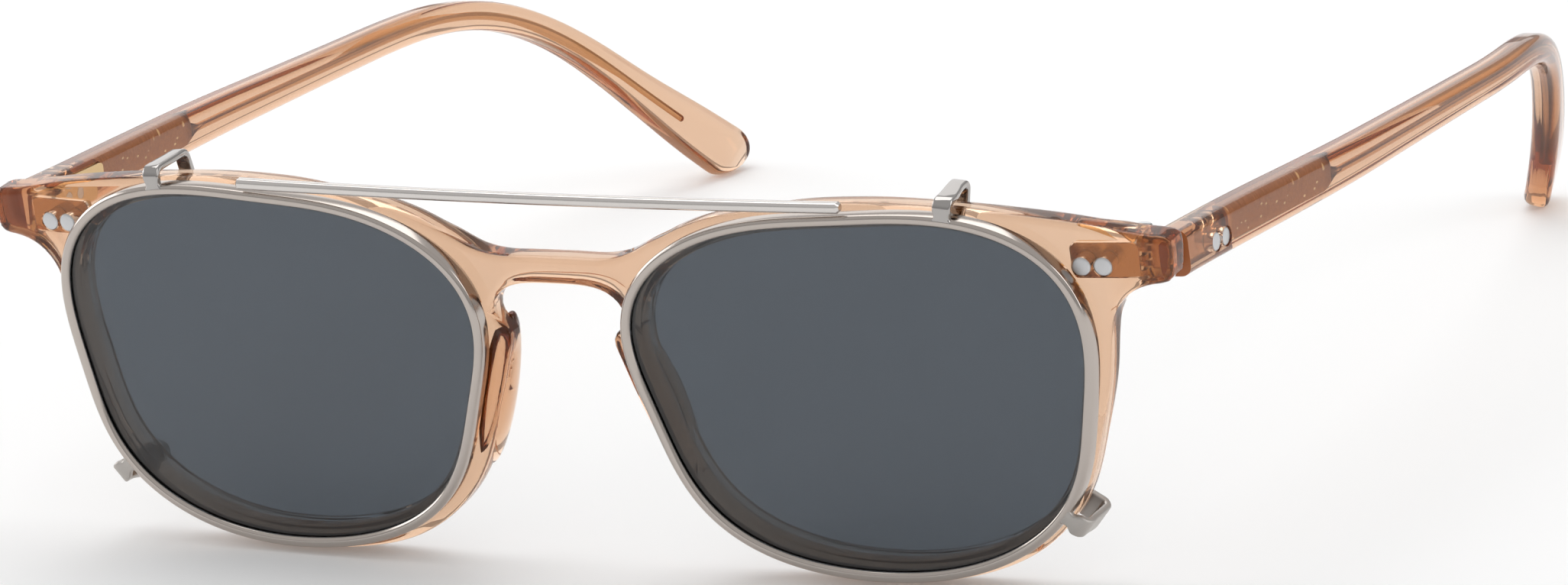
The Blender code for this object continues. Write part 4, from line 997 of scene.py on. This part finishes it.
def core_mesh(sizes):
    """Core: a stamped plate that narrows to a point and runs on as a wire."""
    wire_end = TEMPLE_LENGTH - CORE_END_GAP
    thick, high, wire = sizes.plate_thickness / 2, sizes.plate_height / 2, sizes.wire_radius
    edge = thick * CORE_ROUNDING_SHARE
    rows = [(CORE_START, thick * CORE_END_SHRINK, high * CORE_END_SHRINK, edge)]
    along = np.linspace(CORE_START + CORE_ROW_GAP, CORE_PLATE_END, 12)
    rows += [(s, thick, high, edge) for s in (CORE_START + CORE_ROW_GAP / 5, *along)]
    for t in np.linspace(0, 1, 9)[1:]:
        ease = eased(t)
        half_thickness = thick + (wire - thick) * ease
        rounding = CORE_ROUNDING_SHARE + (1 - CORE_ROUNDING_SHARE) * ease
        rows.append((CORE_PLATE_END + CORE_POINT_LENGTH * t, half_thickness,
                     high + (wire - high) * ease, half_thickness * rounding))
    start = CORE_PLATE_END + CORE_POINT_LENGTH + CORE_ROW_GAP
    rows += [(s, wire, wire, wire) for s in np.linspace(start, wire_end, 70)]
    for turn in (30, 60, 85):
        shrink = wire * cos(radians(turn))
        rows.append((wire_end + wire * sin(radians(turn)), shrink, shrink, shrink))
    return bridged("core", [temple_section(*row) for row in rows])


class EYEWEAR_OT_temples(bpy.types.Operator):
    """Acetate temples with the metal cores inside them"""
    bl_idname = "eyewear.temples"
    bl_label = "Temples"

    def execute(self, context):
        """Make the temples and cores."""
        sizes = context.scene.eyewear_temples
        colours = context.scene.eyewear_colours
        holes = rivet_holes(temple_rivet_axes(), TEMPLE_THICKNESS - LEAF_THICKNESS)
        body = combined(temple_mesh(sizes), "DIFFERENCE", temple_pocket(), holes)
        acetate = bpy.data.materials.get("polished_peach_acetate") or polished_acetate(colours)
        sawn = sanded_acetate(colours)
        butt = TEMPLE_PLACE.translation.y + PIN_DEPTH
        for made in pair("temple", body, TEMPLE_PLACE, acetate, "peach_acetate", True):
            weighted(made)
            second_material(
                made, sawn, lambda face: face.center.y < butt and face.normal.y < BUTT_FACING)
        core = core_mesh(sizes)
        wire = metal("drawn_bronze_wire")
        limit = (TEMPLE_PLACE @ temple_point(CORE_PLATE_END + CORE_POINT_LENGTH / 2)).y
        bronze = stippled_bronze(colours)
        for made in pair("temple_core", core, TEMPLE_PLACE, bronze, "bronze_core", True):
            second_material(made, wire, lambda face: face.center.y > limit)
        return {"FINISHED"}


# Metal fittings

def rivet_mesh(depth):
    """Rivet along +Z from its outer face: a head with a soft edge and a neck to the leaf."""
    head = depth - LEAF_THICKNESS - FIT
    return turned("rivet", [
        (0.0, -RIVET_CROWN), (RIVET_RADIUS - 2 * RIVET_EDGE, -0.75 * RIVET_CROWN),
        (RIVET_RADIUS - RIVET_EDGE, 0.0), (RIVET_RADIUS, RIVET_EDGE), (RIVET_RADIUS, head),
        (RIVET_NECK, head), (RIVET_NECK, depth), (0.0, depth),
    ])


class EYEWEAR_OT_fittings(bpy.types.Operator):
    """Rivets, and the finish of the hinges and screws"""
    bl_idname = "eyewear.fittings"
    bl_label = "Hinges and Rivets"

    def execute(self, context):
        """Make the rivets and dress the hinges and screws."""
        satin = metal("satin_rivet_steel")
        sets = [
            ("front", front_rivet_axes(), END_THICKNESS, FRONT_PLACE, False),
            ("temple", temple_rivet_axes(), TEMPLE_THICKNESS, TEMPLE_PLACE, True),
        ]
        for owner, axes, depth, place, on_temple in sets:
            for number, axis in enumerate(axes, 1):
                name = "%s_rivet_%d" % (owner, number)
                pair(name, rivet_mesh(depth), place @ axis, satin, "satin_rivet", on_temple)
        hinge = metal("milled_nickel_silver")
        screw = metal("turned_screw_steel")
        for name, finish in (
            ("front_hinge", hinge), ("temple_hinge", hinge), ("hinge_screw", screw),
        ):
            for side in ("left", "right"):
                materials = frame["nodes"]["%s_%s" % (name, side)].data.materials
                materials.clear()
                materials.append(finish)
        return {"FINISHED"}


# Clip

def rim_mesh(sizes):
    """Rim of the clip: a grooved strip with bevelled front edges, swept round the lens."""
    lens_front = CLIP_FRONT + (CLIP_RIM_DEPTH - CLIP_LENS_THICKNESS) / 2
    lens_back = lens_front + CLIP_LENS_THICKNESS
    bevel, soft = sizes.rim_bevel, sizes.rim_bevel / 5
    play = CLIP_LENS_PLAY / 2
    section = [
        (soft, CLIP_BACK), (0.0, CLIP_BACK - soft), (0.0, lens_back + play),
        (CLIP_GROOVE_DEPTH, lens_back + play), (CLIP_GROOVE_DEPTH, lens_front - play),
        (0.0, lens_front - play), (0.0, CLIP_FRONT + bevel + soft),
        (soft, CLIP_FRONT + bevel - soft),
        (bevel - soft, CLIP_FRONT + soft), (bevel + soft, CLIP_FRONT),
        (CLIP_RIM_WIDTH - bevel - soft, CLIP_FRONT),
        (CLIP_RIM_WIDTH - bevel + soft, CLIP_FRONT + soft),
        (CLIP_RIM_WIDTH - soft, CLIP_FRONT + bevel - soft),
        (CLIP_RIM_WIDTH, CLIP_FRONT + bevel + soft),
        (CLIP_RIM_WIDTH, CLIP_BACK - soft), (CLIP_RIM_WIDTH - soft, CLIP_BACK),
    ]
    rings = []
    for i in range(CLIP_RIM_POINTS):
        angle = 2 * pi * i / CLIP_RIM_POINTS
        points = [(lens_point(angle, CLIP_OVERLAP + growth), depth) for growth, depth in section]
        rings.append([(x, depth + bend(x), z) for (x, z), depth in points])
    return bridged("clip_rim", rings, ring=True)


def bar_mesh(sizes):
    """Brow bar: a bevelled strip along the tops of both rims, with dressed ends."""
    rise = HALF_HEIGHT + CLIP_OVERLAP + CLIP_RIM_WIDTH + FIT / 2 + BAR_HEIGHT / 2
    middle = CLIP_FRONT - BAR_LEAD + BAR_DEPTH / 2
    bevel, soft = sizes.bar_bevel, sizes.bar_bevel / 5
    half_depth, half_height = BAR_DEPTH / 2, BAR_HEIGHT / 2
    quarter = [
        (half_depth - bevel - soft, half_height), (half_depth - bevel + soft, half_height - soft),
        (half_depth - soft, half_height - bevel + soft), (half_depth, half_height - bevel - soft),
    ]
    loop = quarter + [(u, -v) for u, v in reversed(quarter)]
    loop += [(-u, -v) for u, v in quarter] + [(-u, v) for u, v in reversed(quarter)]
    ends = [(BAR_HALF_LENGTH + out, shrink) for out, shrink in BAR_ENDS]
    rows = [(-x, shrink) for x, shrink in ends]
    rows += [(x, 1.0) for x in np.linspace(-BAR_HALF_LENGTH, BAR_HALF_LENGTH, 81)]
    rows += reversed(ends)
    return bridged("clip_brow_bar", [
        [(x, middle + bend(x) + u * shrink, rise + v * shrink) for u, v in loop]
        for x, shrink in rows
    ])


def hook_path(widths, crest, reach, thickness):
    """Rows of (height, depth, width, share of the sideways shift) along a hook's middle."""
    foot, neck, wide, end = widths
    start = CLIP_OVERLAP + CLIP_RIM_WIDTH - thickness / 2
    top = crest + thickness / 2
    near = CLIP_FRONT + thickness / 2
    far = FRONT_THICKNESS + FIT + thickness / 2
    corner = top - thickness
    path = []
    for t in np.linspace(0, 1, 15):
        flare = max(0.0, 1 - t / HOOK_FLARE_END) ** 2
        spread = max(0.0, (t - HOOK_SPREAD_START) / (1 - HOOK_SPREAD_START))
        width = neck + (foot - neck) * flare + (wide - neck) * eased(spread)
        path.append((start + (corner - start) * t, near, width, 0.0))
    for turn in np.radians(range(10, 91, 10)):
        depth = near + thickness * (1 - cos(turn))
        path.append((corner + thickness * sin(turn), depth, wide, 0.0))
    for t in (0.2, 0.4, 0.6, 0.8):
        depth = near + thickness + (far - near - 2 * thickness) * t
        ease = eased(t)
        path.append((top, depth, wide + (end - wide) * ease, HOOK_SHIFT_ON_TOP * ease))
    for turn in np.radians(range(0, 91, 10)):
        depth = far - thickness + thickness * sin(turn)
        path.append((top - thickness * (1 - cos(turn)), depth, end, HOOK_SHIFT_ON_TOP))
    tail = corner - reach
    for t in (0.2, 0.4, 0.6, 0.8):
        share = HOOK_SHIFT_ON_TOP + (1 - HOOK_SHIFT_ON_TOP) * t
        path.append((corner + (tail + end / 2 - corner) * t, far, end, share))
    for turn in np.radians((0, 20, 40, 60, 75, 86)):
        path.append((tail + end / 2 * (1 - sin(turn)), far, end * cos(turn), 1.0))
    return path


def hook_mesh(angle, widths, shift, crest, sizes):
    """Folded strap from the rim over the acetate's edge and down behind it.
    Widths are those of its foot, neck, fold and end."""
    base = Vector(lens_point(radians(angle)))
    out = lens_normal(radians(angle))
    thickness = sizes.hook_thickness
    path = hook_path(widths, crest, sizes.hook_reach, thickness)
    sections = []
    for i, (height, depth, width, share) in enumerate(path):
        before, after = path[max(0, i - 1)], path[min(len(path) - 1, i + 1)]
        run = Vector((after[0] - before[0], after[1] - before[1])).normalized()
        ring = []
        for v, u in rounded_loop(width / 2, thickness / 2, thickness * 0.3, 4):
            rise = height - run.y * u
            across = v - shift * share
            x = base.x + out.x * rise + out.y * across
            z = base.y + out.y * rise - out.x * across
            ring.append((x, depth + run.x * u + bend(x), z))
        sections.append(ring)
    return bridged("hook", sections)


def brow_over_lens(angle):
    """Height of the brow's edge over the lens outline at this angle, along the normal."""
    x, z = lens_point(radians(angle))
    edge = smooth_value(BROW_SHARES, (x - EYE_X) / HALF_WIDTH) * BROW_TOP
    return (edge - z) * lens_normal(radians(angle)).y


def rim_over_lens(angle):
    """Width of the rim outside the lens outline at this angle."""
    return RIM_WIDTH * smooth_value(RIM_SHARES[::-1], angle)


class EYEWEAR_OT_clip(bpy.types.Operator):
    """Sun clip: two grooved rims, the brow bar and four folded hooks"""
    bl_idname = "eyewear.clip"
    bl_label = "Sun Clip"

    def execute(self, context):
        """Make the clip's metal."""
        sizes = context.scene.eyewear_clip
        pair("clip_rim", rim_mesh(sizes), FRONT_PLACE, metal("drawn_silver_wire"), "silver_clip")
        bar = bar_mesh(sizes)
        bar.transform(FRONT_PLACE)
        satin = metal("satin_silver_plate")
        piece("fine_clip_brow_bar", bar, satin, "front", "silver_clip", "clip_brow_bar")
        top = hook_mesh(
            TOP_HOOK_ANGLE, sizes.top_hook_widths, sizes.top_hook_shift,
            brow_over_lens(TOP_HOOK_ANGLE) + sizes.top_hook_clearance, sizes,
        )
        pair("clip_top_hook", top, FRONT_PLACE, metal("bright_silver_plate"), "silver_clip")
        lower = hook_mesh(
            LOWER_HOOK_ANGLE, sizes.lower_hook_widths, sizes.lower_hook_shift,
            rim_over_lens(LOWER_HOOK_ANGLE) + sizes.lower_hook_clearance, sizes,
        )
        pair("clip_lower_hook", lower, FRONT_PLACE, metal("matt_silver_plate"), "silver_clip")
        return {"FINISHED"}


# Stage

def white_floor(colour, lift):
    """Matt white sweep that keeps the object's shadow and reads as plain white."""
    material, tree = new_material("matt_white_sweep")
    paths = node(tree, "LightPath")
    mirror = node(tree, "Math", {
        "operation": "MAXIMUM", 0: paths.outputs["Is Camera Ray"],
        1: paths.outputs["Is Glossy Ray"],
    })
    seen = node(tree, "Math",
                {"operation": "MAXIMUM", 0: mirror, 1: paths.outputs["Is Transmission Ray"]})
    strength = node(tree, "Math", {"operation": "MULTIPLY", 0: seen, 1: lift})
    matt = node(tree, "BsdfDiffuse", {"Color": rgba(colour)})
    glow = node(tree, "Emission", {"Color": (1, 1, 1, 1), "Strength": strength})
    both = node(tree, "AddShader", {0: matt, 1: glow})
    node(tree, "OutputMaterial", {"Surface": both})
    return material


def softbox(name, size, power, point, height):
    """Rectangular area lamp that faces this height above the middle of the table."""
    lamp = bpy.data.lights.new(name, "AREA")
    lamp.shape = "RECTANGLE"
    lamp.size, lamp.size_y = size
    lamp.energy = power
    aim = (Vector((0, 0, height)) - Vector(point)).to_track_quat("-Z", "Y")
    placed(name, lamp).matrix_world = Matrix.Translation(point) @ aim.to_matrix().to_4x4()


def surroundings(light):
    """World that is paler overhead than low down, and white where the camera sees it."""
    world = bpy.data.worlds.new("studio")
    world.use_nodes = True
    tree = world.node_tree
    tree.nodes.clear()
    place = node(tree, "TexCoord")
    parts = node(tree, "SeparateXYZ", {0: place.outputs["Generated"]})
    level = node(tree, "MapRange", {
        "From Min": 0.0, "From Max": 0.5, "To Min": light.horizon_strength,
        "To Max": light.world_strength, "Value": parts.outputs["Z"],
    })
    paths = node(tree, "LightPath")
    seen = node(tree, "Math",
                {"operation": "MAXIMUM", 0: level, 1: paths.outputs["Is Camera Ray"]})
    around = node(tree, "Background", {"Color": rgba(light.world_colour), "Strength": seen})
    node(tree, "OutputWorld", {"Surface": around})
    return world


def photo_camera():
    """Camera at the photograph's place."""
    lens = bpy.data.cameras.new("camera")
    lens.lens = CAMERA_LENS
    lens.sensor_width = SENSOR_WIDTH
    lens.sensor_fit = "HORIZONTAL"
    lens.clip_start, lens.clip_end = 0.05, 20.0
    camera = placed("camera", lens)
    turn = Euler([radians(angle) for angle in CAMERA_TURN]).to_matrix().to_4x4()
    camera.matrix_world = FRONT_PLACE @ Matrix.Translation(CAMERA_POINT) @ turn
    return camera


class EYEWEAR_OT_stage(bpy.types.Operator):
    """White sweep, soft lamps, pale surroundings and the camera"""
    bl_idname = "eyewear.stage"
    bl_label = "Studio"

    def execute(self, context):
        """Set the stage."""
        light = context.scene.eyewear_light
        bm = bmesh.new()
        bmesh.ops.create_grid(bm, x_segments=8, y_segments=8, size=FLOOR_REACH)
        floor = placed("floor", mesh_from(bm, "floor"))
        floor.data.transform(Matrix.Translation((0, 0, -FLOOR_DROP)))
        floor.data.materials.append(white_floor(light.floor_colour, light.floor_lift))
        for name, size, point, height in SOFTBOXES:
            softbox(name + "_softbox", size, getattr(light, name + "_power"), point, height)
        context.scene.world = surroundings(light)
        context.scene.view_settings.view_transform = "Standard"
        context.scene.camera = photo_camera()
        return {"FINISHED"}


# Sizes, colours and light that a user may change, each with its default and most with a range

def length_prop(description, default, low, high):
    """Property for a length in metres."""
    return FloatProperty(
        description=description, default=default, min=low, max=high, unit="LENGTH")


def lengths_prop(description, default):
    """Property for four lengths in metres."""
    return FloatVectorProperty(description=description, default=default, size=4, unit="LENGTH")


def level_prop(description, default, high=1.0):
    """Property for a plain level from 0 up."""
    return FloatProperty(description=description, default=default, min=0.0, max=high)


def power_prop(description, default):
    """Property for a lamp's power in watts."""
    return FloatProperty(description=description, default=default, unit="POWER")


def colour_prop(description, code):
    """Property for a colour, with its default as a six-figure hex code."""
    return FloatVectorProperty(
        description=description, subtype="COLOR", size=3, min=0.0, max=1.0, default=linear(code))


class EYEWEAR_PG_front(bpy.types.PropertyGroup):
    """Sizes of the acetate front."""
    front_rounding: length_prop("Edge rounding on the front face", 0.0008, 0.0002, 0.0015)
    back_rounding: length_prop("Edge rounding on the back face", 0.0012, 0.0002, 0.0016)
    opening_rounding: length_prop("Edge rounding of the lens openings", 0.0003, 0.0001, 0.0008)
    outline_points: IntProperty(
        description="Points round the front's outline", default=480, min=120, max=1200)


class EYEWEAR_PG_temples(bpy.types.PropertyGroup):
    """Sizes of the temples and their cores."""
    height: length_prop("Height of the temple at the hinge", 0.00497, 0.003, 0.009)
    tip_thickness: length_prop("Thickness of the temple at its tip", 0.0030, 0.002, 0.004)
    rounding: length_prop("Rounding of the temple's long edges", 0.0011, 0.0002, 0.0019)
    plate_height: length_prop("Height of the core's stamped plate", 0.0028, 0.001, 0.004)
    plate_thickness: length_prop("Thickness of the core's stamped plate", 0.0009, 0.0004, 0.0012)
    wire_radius: length_prop("Radius of the core's wire", 0.00045, 0.0003, 0.0009)


class EYEWEAR_PG_clip(bpy.types.PropertyGroup):
    """Sizes of the sun clip. Each hook's widths are those of its foot, neck, fold and end."""
    rim_bevel: length_prop("Bevel of the rim's front edges", 0.0003, 0.0001, 0.0005)
    bar_bevel: length_prop("Bevel of the brow bar's edges", 0.0003, 0.0001, 0.0005)
    hook_thickness: length_prop("Thickness of the hooks' strap", 0.0008, 0.0004, 0.0012)
    hook_reach: length_prop("Length of the hooks behind the front", 0.0028, 0.001, 0.004)
    top_hook_widths: lengths_prop("Widths of the top hooks", (0.0026, 0.0017, 0.0020, 0.0017))
    top_hook_shift: length_prop("How far the top hook's end leans inward", 0.0006, -0.002, 0.002)
    top_hook_clearance: length_prop("Room between the hook and the brow", 0.0011, 0.0003, 0.002)
    lower_hook_widths: lengths_prop("Widths of the lower hooks", (0.0020, 0.0015, 0.0023, 0.0030))
    lower_hook_shift: length_prop(
        "How far the lower hook's end leans inward", -0.0009, -0.002, 0.002)
    lower_hook_clearance: length_prop("Room between the hook and the rim", 0.0013, 0.0003, 0.002)


class EYEWEAR_PG_colours(bpy.types.PropertyGroup):
    """Colours of the materials."""
    acetate: colour_prop("Tint at the acetate's surface", "FFFAF5")
    acetate_body: colour_prop("Colour of the haze inside the acetate", "DE8840")
    acetate_haze: level_prop("Share of that haze", 0.055)
    acetate_depth: colour_prop("Tint that grows with thickness", "E9BA74")
    acetate_density: level_prop("How fast the acetate's tint grows with depth", 280.0, 5000.0)
    sanded: colour_prop("Colour of the temples' sanded butts", "B06A3C")
    clear_lens: colour_prop("Tint of the clear lenses", "F7F8F8")
    grey_lens: colour_prop("Tint of the clip's lenses", "4C535B")
    silver: colour_prop("Colour of the brow bar", "D6D1CD")
    rim_silver: colour_prop("Colour of the rims", "BBB2AB")
    matt_silver: colour_prop("Colour of the lower hooks", "B8B3AE")
    bright_silver: colour_prop("Colour of the top hooks", "AFABA8")
    hinge: colour_prop("Colour of the nickel silver hinges", "D4B587")
    screw: colour_prop("Colour of the hinge screws", "C4C6C8")
    rivet: colour_prop("Colour of the rivet heads", "CFCFD0")
    bronze: colour_prop("Colour of the temple core", "D8A26C")
    bronze_shade: colour_prop("Colour of the core in its grain", "9A6A44")
    # Painted glint: pale gold painted on the core's pressed dots in place of the light that they
    # catch.
    painted_bronze_glint: colour_prop("Colour of the core's pressed dots", "FFF0C4")
    wire: colour_prop("Colour of the core's wire", "D8B48C")


class EYEWEAR_PG_light(bpy.types.PropertyGroup):
    """Levels of the stage."""
    top_power: power_prop("Power of the top softbox", 6.5)
    left_power: power_prop("Power of the left softbox", 4.0)
    right_power: power_prop("Power of the right softbox", 3.0)
    back_power: power_prop("Power of the back softbox", 3.0)
    world_strength: level_prop("Level of the surroundings overhead", 0.62)
    horizon_strength: level_prop("Level of the surroundings low down", 0.4)
    floor_lift: level_prop("Brightness added to the floor as it is seen", 0.10)
    floor_colour: colour_prop("Colour of the sweep", "F0F0F0")
    world_colour: colour_prop("Colour of the surroundings", "FFFFFF")


GROUPS = {
    "eyewear_front": EYEWEAR_PG_front,
    "eyewear_temples": EYEWEAR_PG_temples,
    "eyewear_clip": EYEWEAR_PG_clip,
    "eyewear_colours": EYEWEAR_PG_colours,
    "eyewear_light": EYEWEAR_PG_light,
}
STEPS = (
    EYEWEAR_OT_front, EYEWEAR_OT_lenses, EYEWEAR_OT_temples, EYEWEAR_OT_fittings,
    EYEWEAR_OT_clip, EYEWEAR_OT_stage,
)


class EYEWEAR_PT_panel(bpy.types.Panel):
    """Lists the pieces and their sizes"""
    bl_idname = "EYEWEAR_PT_panel"
    bl_label = "Clip-on Eyeglasses"
    bl_space_type = "VIEW_3D"
    bl_region_type = "UI"
    bl_category = "Eyewear"

    def draw(self, context):
        """Draw a button for each step and the settings."""
        for step in STEPS:
            self.layout.operator(step.bl_idname)
        for name, group in GROUPS.items():
            box = self.layout.box()
            for prop in group.__annotations__:
                label = prop.replace("_", " ").title()
                box.prop(getattr(context.scene, name), prop, text=label)


CLASSES = (*GROUPS.values(), *STEPS, EYEWEAR_PT_panel)


def register():
    """Add the classes and the settings."""
    for item in CLASSES:
        bpy.utils.register_class(item)
    for name, group in GROUPS.items():
        setattr(bpy.types.Scene, name, PointerProperty(type=group))


def unregister():
    """Remove the settings and the classes."""
    for name in GROUPS:
        delattr(bpy.types.Scene, name)
    for item in reversed(CLASSES):
        bpy.utils.unregister_class(item)


def main():
    """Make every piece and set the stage."""
    register()
    bpy.ops.eyewear.front()
    bpy.ops.eyewear.lenses()
    bpy.ops.eyewear.temples()
    bpy.ops.eyewear.fittings()
    bpy.ops.eyewear.clip()
    bpy.ops.eyewear.stage()


if __name__ == "__main__":
    main()
